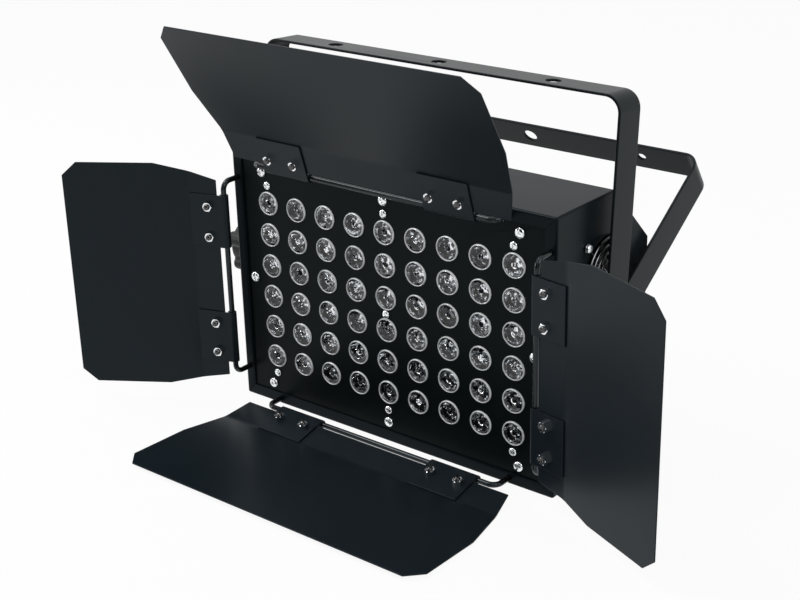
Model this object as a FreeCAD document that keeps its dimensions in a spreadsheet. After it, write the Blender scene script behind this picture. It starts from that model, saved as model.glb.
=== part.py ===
import FreeCAD, Part
import math
import os
import re
import Sketcher

# LED wash light with four barn doors and two yokes.
# Row frame: origin in the middle of the casing's flat underside, +Z up, +X to the right of the front,
# -Y out of the front. Head frame: the same axes, origin in the middle of the casing's front face.

Vector = FreeCAD.Vector
Rotation = FreeCAD.Rotation
Placement = FreeCAD.Placement

doc = FreeCAD.newDocument("led_wash_light")
sheet = doc.addObject("Spreadsheet::Sheet", "Sizes")

# Driving dimensions in millimetres and degrees
SIZES = {
    # casing
    "body_width": 349,
    "body_height": 247,
    "shoulder_depth": 84,
    "slope_run": 57,
    "casing_sheet": 1.5,
    "lip_width": 10.8,
    "cover_lap": 10,
    "cover_flange": 14,
    "cover_flange_half": 50,
    "cover_screw_spread": 40,
    # front panel and the screws in it
    "panel_thickness": 2,
    "panel_overlap": 2,
    "edge_screw_x": 139.5,
    "edge_screw_z": 104,
    "side_screw_x": 154.7,
    "inner_screw_rise": 17,
    "hole_gap": 0.2,
    # lenses, holders, emitters and their board
    "lens_columns": 9,
    "lens_rows": 6,
    "lens_pitch_x": 33.4,
    "lens_pitch_z": 30,
    "lens_radius": 11,
    "lens_gap": 0.3,
    "lens_proud": 1.5,
    "lens_height": 15,
    "lens_rim": 1.4,
    "lens_rim_height": 1.6,
    "lens_step": 0.6,
    "lens_foot_radius": 5,
    "lens_dimple_radius": 2.4,
    "holder_wall": 1.4,
    "emitter_radius": 2.5,
    "emitter_height": 1.5,
    "board_thickness": 1.6,
    "board_half_width": 148,
    "board_half_height": 97,
    # heat sink
    "sink_half_width": 160,
    "sink_half_height": 110,
    "sink_base": 5,
    "fin_height": 20,
    "fin_thickness": 2,
    "fin_pitch": 12,
    "fin_count": 23,
    "post_radius": 4,
    # screws: radius and height of the head, radius and length of the shank
    "edge_head_radius": 4.75,
    "edge_head_height": 3,
    "edge_shank_radius": 2.5,
    "edge_shank_length": 10,
    "inner_head_radius": 3.75,
    "inner_head_height": 2.4,
    "inner_shank_radius": 2,
    "small_head_radius": 3.5,
    "small_head_height": 2.2,
    "small_shank_radius": 1.9,
    "cover_shank_length": 8,
    "fan_shank_length": 9,
    "recess_width": 1,
    "recess_depth": 1.2,
    "fit": 0.05,
    # side fans
    "fan_depth_place": 73.75,
    "fan_height_place": 55.25,
    "fan_size": 70,
    "fan_thickness": 25,
    "fan_hole_pitch": 60,
    "fan_bore_radius": 32,
    "fan_corner": 4,
    "fan_strut": 5,
    "fan_plate": 3,
    "hub_radius": 14,
    "hub_height": 18,
    "shaft_radius": 1.5,
    "blade_thickness": 1.2,
    "blade_tip_gap": 1,
    "blade_pitch": 38,
    "blade_count": 7,
    "blade_chord": 16,
    "guard_wire": 0.9,
    "guard_pitch": 6.5,
    "guard_outer": 31,
    "guard_rings": 4,
    "guard_eye": 3.1,
    # power supply and controls on the back
    "supply_width": 150,
    "supply_height": 97,
    "supply_depth": 30,
    "control_x": 118,
    "control_z": 30,
    "control_width": 76,
    "control_height": 46,
    "control_gap": 8,
    "pillar_radius": 2.5,
    "pillar_inset": 4,
    "window_width": 50,
    "window_height": 18,
    "window_rise": 9,
    "window_proud": 0.4,
    "button_radius": 3.5,
    "button_spread": 13,
    "button_drop": 12,
    "button_proud": 1.5,
    "button_flange_radius": 4.6,
    "button_flange": 1,
    "button_stem_radius": 2,
    "button_travel": 1,
    "button_slack": 0.3,
    "switch_size": 6,
    "switch_height": 4,
    # sockets on the back
    "socket_far_x": 147,
    "socket_near_x": 108,
    "socket_high_z": 22,
    "socket_low_z": -24,
    "socket_flange_width": 26,
    "socket_flange_height": 31,
    "socket_flange": 2,
    "socket_radius": 11.5,
    "socket_depth": 20,
    "socket_mouth_radius": 9.5,
    "socket_mouth_depth": 14,
    "fuse_x": 128,
    "fuse_z": -24,
    "fuse_radius": 7,
    "fuse_cap_radius": 9,
    "fuse_cap_height": 10,
    "fuse_depth": 30,
    "eye_base_radius": 9,
    "eye_base": 2,
    "eye_radius": 9,
    "eye_wire": 2,
    # door rods
    "rod_radius": 2.5,
    "rod_reach": 19,
    "rod_bend": 8,
    "rod_tail": 8,
    "side_rod_inset": 5.5,
    "side_rod_half": 94,
    "end_rod_inset": 6,
    "end_rod_half": 130,
    # doors
    "leaf_sheet": 1.2,
    "leaf_start": 6,
    "leaf_bend_place": 33,
    "leaf_bend": 14.1,
    "side_leaf_widest_from": 66,
    "end_leaf_widest_from": 77.5,
    "leaf_widest_to": 137.5,
    "leaf_length": 151.4,
    "leaf_chamfer": 13,
    "side_leaf_flare": 13.8,
    "end_leaf_flare": 16,
    "side_leaf_half": 95.7,
    "end_leaf_half": 147.2,
    "left_angle": 18,
    "right_angle": 8.6,
    "top_angle": 16.6,
    "bottom_angle": 77.7,
    "hinge_width": 50,
    "hinge_sheet": 1.5,
    "side_hinge_place": 57,
    "end_hinge_place": 87,
    "door_bolt_spread": 29,
    "door_bolt_place": 14,
    "door_bolt_radius": 2.5,
    "door_bolt_head_radius": 4.75,
    "door_bolt_head": 2.4,
    "door_bolt_end": 2.5,
    "door_nut_flats": 8,
    "door_nut": 4,
    # yokes and pivot
    "pivot_depth": 67,
    "bar_width": 31,
    "bar_thickness": 2.5,
    "bar_bend": 15,
    "bar_tail": 17,
    "bar_corner": 12,
    "upright_reach": 206.5,
    "upright_lean": 4,
    "rear_reach": 190,
    "rear_lean": 55.5,
    "hang_hole_radius": 6.5,
    "hang_hole_spread": 116,
    "small_hole_radius": 3.8,
    "small_hole_spread": 120,
    "spacer_length": 5.5,
    "spacer_radius": 5.5,
    "yoke_spacing": 4,
    "washer_thickness": 1.5,
    "washer_radius": 12,
    "pivot_radius": 4,
    "pivot_end": 18,
    "knob_radius": 23,
    "knob_lobe_radius": 7,
    "knob_lobes": 5,
    "knob_lobe_turn": 22,
    "knob_collar_radius": 13,
    "knob_collar": 9,
    "knob_height_left": 38,
    "knob_height_right": 25,
    # how far a cutting shape runs past what it cuts
    "overrun": 3,
}

# Shares of a pan head's radius and height, from its flat top down
DOME_SHARES = ((0.45, 1.0), (0.85, 0.7), (1.0, 0.3))
# Share of a sheet's thickness that a corner of 22.5 degrees moves by
MITRE_SHARE = math.tan(math.radians(22.5))
# Share of the lens height where its taper starts and where the dimple ends
LENS_TAPER_SHARE = 0.42
LENS_DIMPLE_SHARE = 0.3
# Share of the screw head's radius that the cross recess spans
RECESS_SHARE = 0.55

for row, (name, value) in enumerate(SIZES.items(), start=1):
    sheet.set("A%d" % row, name)
    sheet.set("B%d" % row, str(value))
    sheet.setAlias("B%d" % row, name)
doc.recompute()

ALONG_X = Rotation(Vector(0, 1, 0), 90)
ALONG_Y = Rotation(Vector(1, 0, 0), -90)
UPRIGHT = Rotation()
sub_parts = []


def size(name):
    """A driving dimension as a number."""
    return float(sheet.get(name))


def bound(formula):
    """The formula with each size's name pointed at its cell."""
    return re.sub(r"[a-z_]+", lambda word: "Sizes." + word[0] if word[0] in SIZES else word[0], formula)


def bind(thing, target, formula):
    thing.setExpression(target, bound(formula))


def half(formula):
    return "(%s) / 2" % formula


def minus(formula):
    return "-(%s)" % formula


# The head frame's place in the row frame
HEAD = Placement(Vector(0, -size("shoulder_depth") / 2, size("body_height") / 2), Rotation())
# The tilt axis, in the head frame
PIVOT = Placement(Vector(0, size("pivot_depth"), 0), Rotation())


# Sketches and PartDesign features

def origin_plane(body, role):
    return [plane for plane in body.Origin.OriginFeatures if plane.Role == role][0]


def sketch_on(body, role, offset="0"):
    """An empty sketch on one of the body's own planes."""
    sketch = body.newObject("Sketcher::SketchObject", body.Name + "_sketch")
    sketch.AttachmentSupport = (origin_plane(body, role), "")
    sketch.MapMode = "FlatFace"
    if offset != "0":
        bind(sketch, "AttachmentOffset.Base.z", offset)
    return sketch


def hold(sketch, element, point, x, y):
    """Ties one point of a sketch to a place given by two formulas."""
    for kind, formula, axis in (("DistanceX", x, -2), ("DistanceY", y, -1)):
        if formula == "0":
            sketch.addConstraint(Sketcher.Constraint("PointOnObject", element, point, axis))
        else:
            index = sketch.addConstraint(Sketcher.Constraint(kind, -1, 1, element, point, 1.0))
            bind(sketch, "Constraints[%d]" % index, formula)


def outline(sketch, corners):
    """A closed outline of straight sides through the corners."""
    first = sketch.GeometryCount
    count = len(corners)
    turn = 2 * math.pi / count
    ring = [Vector(math.cos(turn * i), math.sin(turn * i), 0) for i in range(count)]
    for i in range(count):
        sketch.addGeometry(Part.LineSegment(ring[i], ring[(i + 1) % count]), False)
    for i in range(count):
        sketch.addConstraint(Sketcher.Constraint("Coincident", first + i, 2, first + (i + 1) % count, 1))
    for i, (x, y) in enumerate(corners):
        hold(sketch, first + i, 1, x, y)


def rectangle(sketch, half_width, half_height, x="0", y="0"):
    low_x, high_x = "%s - (%s)" % (x, half_width), "%s + %s" % (x, half_width)
    low_y, high_y = "%s - (%s)" % (y, half_height), "%s + %s" % (y, half_height)
    outline(sketch, [(low_x, low_y), (high_x, low_y), (high_x, high_y), (low_x, high_y)])


def circles(sketch, centres, radius):
    for x, y in centres:
        element = sketch.addGeometry(Part.Circle(Vector(), Vector(0, 0, 1), 1.0), False)
        index = sketch.addConstraint(Sketcher.Constraint("Radius", element, 1.0))
        bind(sketch, "Constraints[%d]" % index, radius)
        hold(sketch, element, 3, x, y)


def pad(body, sketch, length, symmetric=False, flipped=False):
    feature = body.newObject("PartDesign::Pad", body.Name + "_pad")
    feature.Profile = sketch
    bind(feature, "Length", length)
    feature.Midplane = symmetric
    feature.Reversed = flipped
    return feature


def pocket(body, sketch, length):
    """Cuts the sketch both ways from its plane, and makes sure that something went."""
    doc.recompute()
    before = body.Shape.Volume
    feature = body.newObject("PartDesign::Pocket", body.Name + "_pocket")
    feature.Profile = sketch
    bind(feature, "Length", length)
    feature.Midplane = True
    doc.recompute()
    if body.Shape.Volume >= before:
        raise ValueError(feature.Name + " cuts nothing")
    return feature


def fillet(body, axis, radius, chosen):
    """Rounds the straight edges along one axis whose middle satisfies the test."""
    doc.recompute()
    tip = body.Tip
    names = []
    for number, edge in enumerate(tip.Shape.Edges, start=1):
        ends = [vertex.Point for vertex in edge.Vertexes]
        if len(ends) != 2 or edge.Curve.TypeId != "Part::GeomLine":
            continue
        run = ends[1] - ends[0]
        if abs(abs(getattr(run, axis)) - run.Length) < size("fit") and chosen((ends[0] + ends[1]) * 0.5):
            names.append("Edge%d" % number)
    feature = body.newObject("PartDesign::Fillet", body.Name + "_fillet")
    feature.Base = (tip, names)
    bind(feature, "Radius", radius)
    return feature


def turned(name, corners):
    """A body of revolution about Y: each corner is a radius and a place along Y."""
    body = doc.addObject("PartDesign::Body", name)
    sketch = sketch_on(body, "XY_Plane")
    outline(sketch, corners)
    feature = body.newObject("PartDesign::Revolution", name + "_turn")
    feature.Profile = sketch
    feature.ReferenceAxis = (sketch, ["V_Axis"])
    feature.Angle = 360
    return body


# Part primitives and booleans

def primitive(kind, name, sizes, at=("0", "0", "0"), turn=UPRIGHT):
    solid = doc.addObject("Part::" + kind, name)
    solid.Placement = Placement(Vector(), turn)
    for target, formula in sizes.items():
        bind(solid, target, formula)
    for axis, formula in zip("xyz", at):
        if formula != "0":
            bind(solid, "Placement.Base." + axis, formula)
    return solid


def block(name, lengths, at):
    """A box with the given lengths along X, Y and Z, centred on X and Z, its front at y."""
    x, y, z = at
    corner = ("%s - %s" % (x, half(lengths[0])), y, "%s - %s" % (z, half(lengths[2])))
    return primitive("Box", name, dict(zip(("Length", "Width", "Height"), lengths)), corner)


def cylinder(name, radius, length, at=("0", "0", "0"), turn=UPRIGHT):
    return primitive("Cylinder", name, {"Radius": radius, "Height": length}, at, turn)


def fuse(name, solids):
    result = doc.addObject("Part::MultiFuse", name)
    result.Shapes = solids
    return result


def cut(name, base, tools):
    result = doc.addObject("Part::Cut", name)
    result.Base = base
    result.Tool = tools[0] if len(tools) == 1 else fuse(name + "_tools", tools)
    return result


def copies(name, master, places):
    """Separate solids, each the master's shape at one place."""
    doc.recompute()
    result = doc.addObject("Part::Feature", name)
    moved = []
    for place in places:
        shape = master.Shape.copy()
        shape.Placement = place.multiply(shape.Placement)
        moved.append(shape)
    result.Shape = Part.makeCompound(moved)
    return result


def keep(label, thing, frame=HEAD):
    """Registers a sub-part: its label names its file, and its frame places it in the row."""
    if thing.TypeId in ("Part::Box", "Part::Cylinder"):
        whole = doc.addObject("Part::Compound", label + "_whole")
        whole.Links = [thing]
        thing = whole
    thing.Label = label
    thing.Placement = frame.multiply(thing.Placement)
    sub_parts.append(thing)
    return thing


# Casing

HALF_WIDTH = "body_width / 2"
HALF_HEIGHT = "body_height / 2"
DEPTH = "(shoulder_depth + slope_run)"
BACK_HALF = "(body_height / 2 - slope_run)"
OPENING_X = "(body_width / 2 - lip_width)"
OPENING_Z = "(body_height / 2 - lip_width)"
BACK_INSIDE = "(shoulder_depth + slope_run - casing_sheet)"
SEAM = "(shoulder_depth + slope_run - casing_sheet - cover_flange / 2)"


def mirrored(corners):
    """Adds the same corners below the middle, so that the outline closes."""
    return corners + [(x, minus(y)) for x, y in reversed(corners)]


def fan_screw_places():
    reach = half("fan_hole_pitch")
    return [("fan_depth_place + %d * %s" % (i, reach), "fan_height_place + %d * %s" % (j, reach))
            for i in (-1, 1) for j in (-1, 1)]


def side_rod_legs():
    return [("%d * (body_width / 2 - side_rod_inset)" % i, "%d * side_rod_half" % j)
            for i in (-1, 1) for j in (-1, 1)]


def end_rod_legs():
    return [("%d * end_rod_half" % i, "%d * (body_height / 2 - end_rod_inset)" % j)
            for i in (-1, 1) for j in (-1, 1)]


def front_housing():
    """Side walls in the full profile, top and bottom up to the shoulder, and the front lip."""
    body = doc.addObject("PartDesign::Body", "front_housing_body")
    profile = sketch_on(body, "YZ_Plane")
    outline(profile, mirrored([("0", HALF_HEIGHT), ("shoulder_depth", HALF_HEIGHT), (DEPTH, BACK_HALF)]))
    pad(body, profile, "body_width", symmetric=True)

    inside = sketch_on(body, "YZ_Plane")
    under = HALF_HEIGHT + " - casing_sheet"
    beyond = HALF_HEIGHT + " + overrun"
    far = DEPTH + " + overrun"
    outline(inside, mirrored([("casing_sheet", under), ("shoulder_depth", under),
                              ("shoulder_depth", beyond), (far, beyond)]))
    pocket(body, inside, "body_width - 2 * casing_sheet")

    window = sketch_on(body, "XZ_Plane")
    rectangle(window, OPENING_X, OPENING_Z)
    pocket(body, window, "2 * (casing_sheet + overrun)")

    sides = sketch_on(body, "YZ_Plane")
    circles(sides, [("fan_depth_place", "fan_height_place")], "fan_bore_radius")
    circles(sides, fan_screw_places(), "small_shank_radius + hole_gap")
    circles(sides, cover_screw_places(), "small_shank_radius + fit")
    circles(sides, [("pivot_depth", "0")], "pivot_radius + fit")
    pocket(body, sides, "body_width + overrun")

    legs = sketch_on(body, "XZ_Plane")
    circles(legs, side_rod_legs() + end_rod_legs(), "rod_radius + fit")
    pocket(body, legs, "2 * (casing_sheet + overrun)")
    return keep("front_housing", body)


def cover_screw_places():
    return [(SEAM, "%d * cover_screw_spread" % i) for i in (-1, 0, 1)]


def panel_cutouts(sketch):
    """Openings in the back of the cover, in the plane of the back."""
    for side, x in ((-1, "socket_far_x"), (-1, "socket_near_x"), (1, "socket_far_x"), (1, "socket_near_x")):
        level = "socket_high_z" if side < 0 else "socket_low_z"
        circles(sketch, [("%d * %s" % (side, x), level)], "socket_radius + hole_gap")
    circles(sketch, [("-fuse_x", "fuse_z")], "fuse_radius + hole_gap")
    circles(sketch, button_places(), "button_radius + hole_gap")
    rectangle(sketch, "window_width / 2 + hole_gap", "window_height / 2 + hole_gap",
              "control_x", "control_z + window_rise")


def button_places():
    return [("control_x + %.1f * button_spread" % i, "control_z - button_drop") for i in (-1.5, -0.5, 0.5, 1.5)]


def rear_cover():
    """Laps under the top and over the bottom, two slopes, the back and its side flanges, from one sheet."""
    body = doc.addObject("PartDesign::Body", "rear_cover_body")
    profile = sketch_on(body, "YZ_Plane")
    edge = "shoulder_depth - cover_lap"
    top = HALF_HEIGHT + " - casing_sheet"
    under = HALF_HEIGHT + " - 2 * casing_sheet"
    inner = "%.6f * casing_sheet" % MITRE_SHARE
    upper = [(edge, top), ("shoulder_depth + casing_sheet", top), (DEPTH, BACK_HALF)]
    lower = [(x, minus(z)) for x, z in reversed(upper)]
    lining = [(edge, under), ("shoulder_depth + casing_sheet - " + inner, under),
              (BACK_INSIDE, BACK_HALF + " - " + inner)]
    corners = upper + lower + [(x, minus(z)) for x, z in lining] + list(reversed(lining))
    outline(profile, corners)
    pad(body, profile, "body_width - 2 * casing_sheet", symmetric=True)

    back = sketch_on(body, "XZ_Plane", minus(DEPTH))
    panel_cutouts(back)
    pocket(body, back, "2 * (casing_sheet + overrun)")

    flanges = sketch_on(body, "XZ_Plane", minus(BACK_INSIDE))
    for i in (-1, 1):
        rectangle(flanges, "casing_sheet / 2", "cover_flange_half",
                  "%d * (body_width / 2 - 3 * casing_sheet / 2)" % i)
    pad(body, flanges, "cover_flange")
    seam = sketch_on(body, "YZ_Plane")
    circles(seam, cover_screw_places(), "small_shank_radius + fit")
    pocket(body, seam, "body_width")
    return keep("rear_cover", body)


# Front panel, lenses and what lies behind them

BOARD_FRONT = "(casing_sheet - lens_proud + lens_height)"
SINK_FRONT = "(casing_sheet - lens_proud + lens_height + board_thickness)"
COLUMN_REACH = "(lens_columns - 1) / 2 * lens_pitch_x"
ROW_REACH = "(lens_rows - 1) / 2 * lens_pitch_z"


def lens_places(depth):
    """Centres of all lenses, at one depth in the head frame."""
    columns, rows = int(size("lens_columns")), int(size("lens_rows"))
    return [Placement(Vector((i - (columns - 1) / 2) * size("lens_pitch_x"), depth,
                             (j - (rows - 1) / 2) * size("lens_pitch_z")), Rotation())
            for j in range(rows) for i in range(columns)]


def edge_screw_places():
    corners = [("%d * edge_screw_x" % i, "%d * edge_screw_z" % j) for i in (-1, 0, 1) for j in (-1, 1)]
    return corners + [("-side_screw_x", "0"), ("side_screw_x", "0")]


def inner_screw_places():
    outer = [("%d * %s" % (i, COLUMN_REACH), "%d * (%s + inner_screw_rise)" % (j, ROW_REACH))
             for i in (-1, 0, 1) for j in (-1, 1)]
    return outer + [("0", "0")]


def edge_places(depth):
    x, z, side = size("edge_screw_x"), size("edge_screw_z"), size("side_screw_x")
    corners = [(i * x, j * z) for i in (-1, 0, 1) for j in (-1, 1)] + [(-side, 0), (side, 0)]
    return [Placement(Vector(a, depth, b), Rotation()) for a, b in corners]


def inner_places(depth):
    x = (size("lens_columns") - 1) / 2 * size("lens_pitch_x")
    z = (size("lens_rows") - 1) / 2 * size("lens_pitch_z") + size("inner_screw_rise")
    corners = [(i * x, j * z) for i in (-1, 0, 1) for j in (-1, 1)] + [(0, 0)]
    return [Placement(Vector(a, depth, b), Rotation()) for a, b in corners]


def front_panel():
    body = doc.addObject("PartDesign::Body", "front_panel_body")
    plate = sketch_on(body, "XZ_Plane", minus("casing_sheet"))
    rectangle(plate, OPENING_X + " + panel_overlap", OPENING_Z + " + panel_overlap")
    pad(body, plate, "panel_thickness", flipped=True)

    screws = sketch_on(body, "XZ_Plane", minus("casing_sheet"))
    circles(screws, edge_screw_places(), "edge_shank_radius + hole_gap")
    circles(screws, inner_screw_places(), "inner_shank_radius + hole_gap")
    pocket(body, screws, "2 * (panel_thickness + overrun)")

    hole = sketch_on(body, "XZ_Plane", minus("casing_sheet"))
    circles(hole, [(minus(COLUMN_REACH), minus(ROW_REACH))], "lens_radius + lens_gap")
    first = pocket(body, hole, "2 * (panel_thickness + overrun)")
    grid = body.newObject("PartDesign::LinearPattern", "lens_holes")
    grid.Originals = [first]
    grid.Direction = (hole, ["H_Axis"])
    grid.Direction2 = (hole, ["V_Axis"])
    bind(grid, "Length", "(lens_columns - 1) * lens_pitch_x")
    bind(grid, "Length2", "(lens_rows - 1) * lens_pitch_z")
    grid.Occurrences = int(size("lens_columns"))
    grid.Occurrences2 = int(size("lens_rows"))
    body.Tip = grid
    return keep("front_panel", body)


def lenses():
    """A clear cone with a bright flat rim, a dished face and a dimple in its middle."""
    rim = "lens_radius - lens_rim"
    neck = "lens_radius - lens_step"
    taper = "%.2f * lens_height" % LENS_TAPER_SHARE
    dimple = "%.2f * lens_height" % LENS_DIMPLE_SHARE
    pocket_roof = "lens_height - 2 * emitter_height"
    pocket_radius = "emitter_radius + 0.5 * emitter_radius / 2"
    master = turned("lens_body", [
        ("lens_radius", "0"), ("lens_radius", "lens_rim_height"), (neck, "lens_rim_height"), (neck, taper),
        ("lens_foot_radius", "lens_height"), (pocket_radius, "lens_height"), (pocket_radius, pocket_roof),
        ("0", pocket_roof), ("0", dimple), ("lens_dimple_radius / 2", dimple),
        ("lens_dimple_radius", "lens_rim_height"), (rim + " - lens_step", "lens_rim_height / 2"), (rim, "0")])
    return keep("lenses", copies("lenses_all", master, lens_places(size("casing_sheet") - size("lens_proud"))))


def lens_holders():
    bore = "lens_radius - lens_step + lens_gap / 2"
    outer = "lens_radius - lens_step + lens_gap / 2 + holder_wall"
    length = "lens_height - lens_proud - panel_thickness"
    master = turned("holder_body", [(bore, "0"), (outer, "0"), (outer, length), (bore, length)])
    front = size("casing_sheet") + size("panel_thickness")
    return keep("lens_holders", copies("holders_all", master, lens_places(front)))


def led_emitters():
    master = turned("emitter_body", [("0", "0"), ("emitter_radius", "0"),
                                     ("emitter_radius", "emitter_height"), ("0", "emitter_height")])
    front = size("casing_sheet") - size("lens_proud") + size("lens_height") - size("emitter_height")
    return keep("led_emitters", copies("emitters_all", master, lens_places(front)))


def holes_along_y(name, places, radius, start, length):
    return [cylinder("%s_%d" % (name, i), radius, length, (x, start, z), ALONG_Y)
            for i, (x, z) in enumerate(places)]


def led_board():
    plate = block("board_plate", ("2 * board_half_width", "board_thickness", "2 * board_half_height"),
                  ("0", BOARD_FRONT, "0"))
    holes = holes_along_y("board_hole", inner_screw_places(), "inner_shank_radius + hole_gap",
                          BOARD_FRONT + " - overrun", "board_thickness + 2 * overrun")
    return keep("led_board", cut("led_board_cut", plate, holes))


def heat_sink():
    """A base plate with upright fins, drilled for the inner screws."""
    base = block("sink_plate", ("2 * sink_half_width", "sink_base", "2 * sink_half_height"),
                 ("0", SINK_FRONT, "0"))
    count = int(size("fin_count"))
    fins = [block("fin_%d" % i, ("fin_thickness", "fin_height + sink_base", "2 * sink_half_height"),
                  ("%.1f * fin_pitch" % (i - (count - 1) / 2), SINK_FRONT, "0")) for i in range(count)]
    holes = holes_along_y("sink_hole", inner_screw_places(), "inner_shank_radius + fit",
                          SINK_FRONT + " - overrun", "sink_base + fin_height + 2 * overrun")
    holes += holes_along_y("post_hole", edge_screw_places(), "edge_shank_radius + fit",
                           SINK_FRONT + " - overrun", "sink_base + 2 * overrun")
    return keep("heat_sink", cut("heat_sink_cut", fuse("sink_whole", [base] + fins), holes))


def pan_screw(name, head_radius, head_height, shank_radius, shank_length):
    """A pan head screw along Y, seated at y = 0 with its head towards -Y and a cross recess."""
    dome = [("%.2f * %s" % (a, head_radius), "-%.2f * %s" % (b, head_height)) for a, b in DOME_SHARES]
    body = turned(name + "_body", [("0", minus(head_height))] + dome + [
        (head_radius, "0"), (shank_radius, "0"), (shank_radius, shank_length), ("0", shank_length)])
    span = "2 * %.2f * %s" % (RECESS_SHARE, head_radius)
    start = "-(%s) - overrun" % head_height
    slots = [block(name + "_slot_a", (span, "recess_depth + overrun", "recess_width"), ("0", start, "0")),
             block(name + "_slot_b", ("recess_width", "recess_depth + overrun", span), ("0", start, "0"))]
    return cut(name + "_crossed", body, slots)


def panel_screws():
    master = pan_screw("edge_screw", "edge_head_radius", "edge_head_height", "edge_shank_radius",
                       "edge_shank_length")
    return keep("panel_screws", copies("panel_screws_all", master, edge_places(size("casing_sheet"))))


def board_screws():
    """They pass the panel and the board and end in the heat sink's base."""
    length = "lens_height - lens_proud + board_thickness + sink_base"
    master = pan_screw("inner_screw", "inner_head_radius", "inner_head_height", "inner_shank_radius", length)
    return keep("board_screws", copies("board_screws_all", master, inner_places(size("casing_sheet"))))


def panel_posts():
    """Threaded posts that hold the panel and the heat sink apart."""
    bore = "edge_shank_radius + fit"
    length = "lens_height - lens_proud - panel_thickness + board_thickness"
    master = turned("post_body", [(bore, "0"), ("post_radius", "0"), ("post_radius", length), (bore, length)])
    front = size("casing_sheet") + size("panel_thickness")
    return keep("panel_posts", copies("posts_all", master, edge_places(front)))


def housing_screws():
    """Three through each side wall, into the side flanges of the rear cover."""
    master = pan_screw("cover_screw", "small_head_radius", "small_head_height", "small_shank_radius",
                       "cover_shank_length")
    places = []
    depth = size("shoulder_depth") + size("slope_run") - size("casing_sheet") - size("cover_flange") / 2
    for side in (-1, 1):
        for i in (-1, 0, 1):
            at = Vector(side * size("body_width") / 2, depth, i * size("cover_screw_spread"))
            places.append(Placement(at, Rotation(Vector(0, 0, 1), 90 * side)))
    return keep("housing_screws", copies("housing_screws_all", master, places))


# Side fans, modelled for the right wall and turned about Z for the left one


def fan_frame_of(side):
    """The head-frame place of a fan: local x points out of the side wall."""
    turn = Rotation(Vector(0, 0, 1), 0 if side > 0 else 180)
    at = Vector(side * (size("body_width") / 2 - size("casing_sheet")), size("fan_depth_place"),
                size("fan_height_place"))
    return HEAD.multiply(Placement(at, turn))


def fan_corners():
    reach = half("fan_hole_pitch")
    return [("%d * %s" % (i, reach), "%d * %s" % (j, reach)) for i in (-1, 1) for j in (-1, 1)]


def fan_frame(name, side):
    """A square frame with a round duct and four struts that carry the motor at its inner end."""
    body = doc.addObject("PartDesign::Body", name + "_body")
    square = sketch_on(body, "YZ_Plane")
    rectangle(square, "fan_size / 2", "fan_size / 2")
    pad(body, square, "fan_thickness", flipped=True)
    duct = sketch_on(body, "YZ_Plane")
    circles(duct, [("0", "0")], "fan_bore_radius")
    circles(duct, fan_corners(), "small_shank_radius + fit")
    pocket(body, duct, "2 * (fan_thickness + overrun)")
    reach = size("fan_size") / 2
    fillet(body, "x", "fan_corner", lambda p: abs(abs(p.y) - reach) < size("fit")
           and abs(abs(p.z) - reach) < size("fit"))

    inner = minus("fan_thickness")
    span = "2 * (fan_bore_radius + fan_corner / 2)"
    strut_a = primitive("Box", name + "_strut_a", {"Length": "fan_plate", "Width": span, "Height": "fan_strut"},
                        (inner, minus(half(span)), "-fan_strut / 2"))
    strut_b = primitive("Box", name + "_strut_b", {"Length": "fan_plate", "Width": "fan_strut", "Height": span},
                        (inner, "-fan_strut / 2", minus(half(span))))
    plate = cylinder(name + "_plate", "hub_radius", "fan_plate", (inner, "0", "0"), ALONG_X)
    shaft = cylinder(name + "_shaft", "shaft_radius", "fan_thickness / 2", (inner, "0", "0"), ALONG_X)
    return keep(name, fuse(name + "_all", [body, strut_a, strut_b, plate, shaft]), fan_frame_of(side))


def fan_rotor(name, side):
    """A hub with slanted blades on the frame's shaft."""
    start = "-fan_thickness + fan_plate + 6 * fit"
    hub = cylinder(name + "_hub", "hub_radius", "hub_height", (start, "0", "0"), ALONG_X)
    doc.recompute()
    count = int(size("blade_count"))
    chord, tip = size("blade_chord"), size("fan_bore_radius") - size("blade_tip_gap")
    middle = -size("fan_thickness") + size("fan_plate") + 6 * size("fit") + size("hub_height") / 2
    plate = Part.makeBox(chord, size("blade_thickness"), tip,
                         Vector(-chord / 2, -size("blade_thickness") / 2, 0))
    plate.rotate(Vector(), Vector(0, 0, 1), size("blade_pitch"))
    plate.translate(Vector(middle, 0, 0))
    bound_shape = Part.makeCylinder(tip, size("fan_thickness"), Vector(-size("fan_thickness"), 0, 0),
                                    Vector(1, 0, 0))
    blades = doc.addObject("Part::Feature", name + "_blades")
    turned_plates = []
    for i in range(count):
        blade = plate.copy()
        blade.rotate(Vector(), Vector(1, 0, 0), 360 / count * i)
        turned_plates.append(blade.common(bound_shape))
    blades.Shape = Part.makeCompound(turned_plates)
    bore = cylinder(name + "_bore", "shaft_radius + fit", "fan_thickness / 2 - fan_plate",
                    ("-fan_thickness + fan_plate", "0", "0"), ALONG_X)
    return keep(name, cut(name + "_cut", fuse(name + "_all", [hub, blades]), [bore]), fan_frame_of(side))


def torus(name, radius, wire, at, turn=UPRIGHT, sweep=None):
    sizes = {"Radius1": radius, "Radius2": wire}
    if sweep:
        sizes["Angle3"] = sweep
    return primitive("Torus", name, sizes, at, turn)


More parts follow.
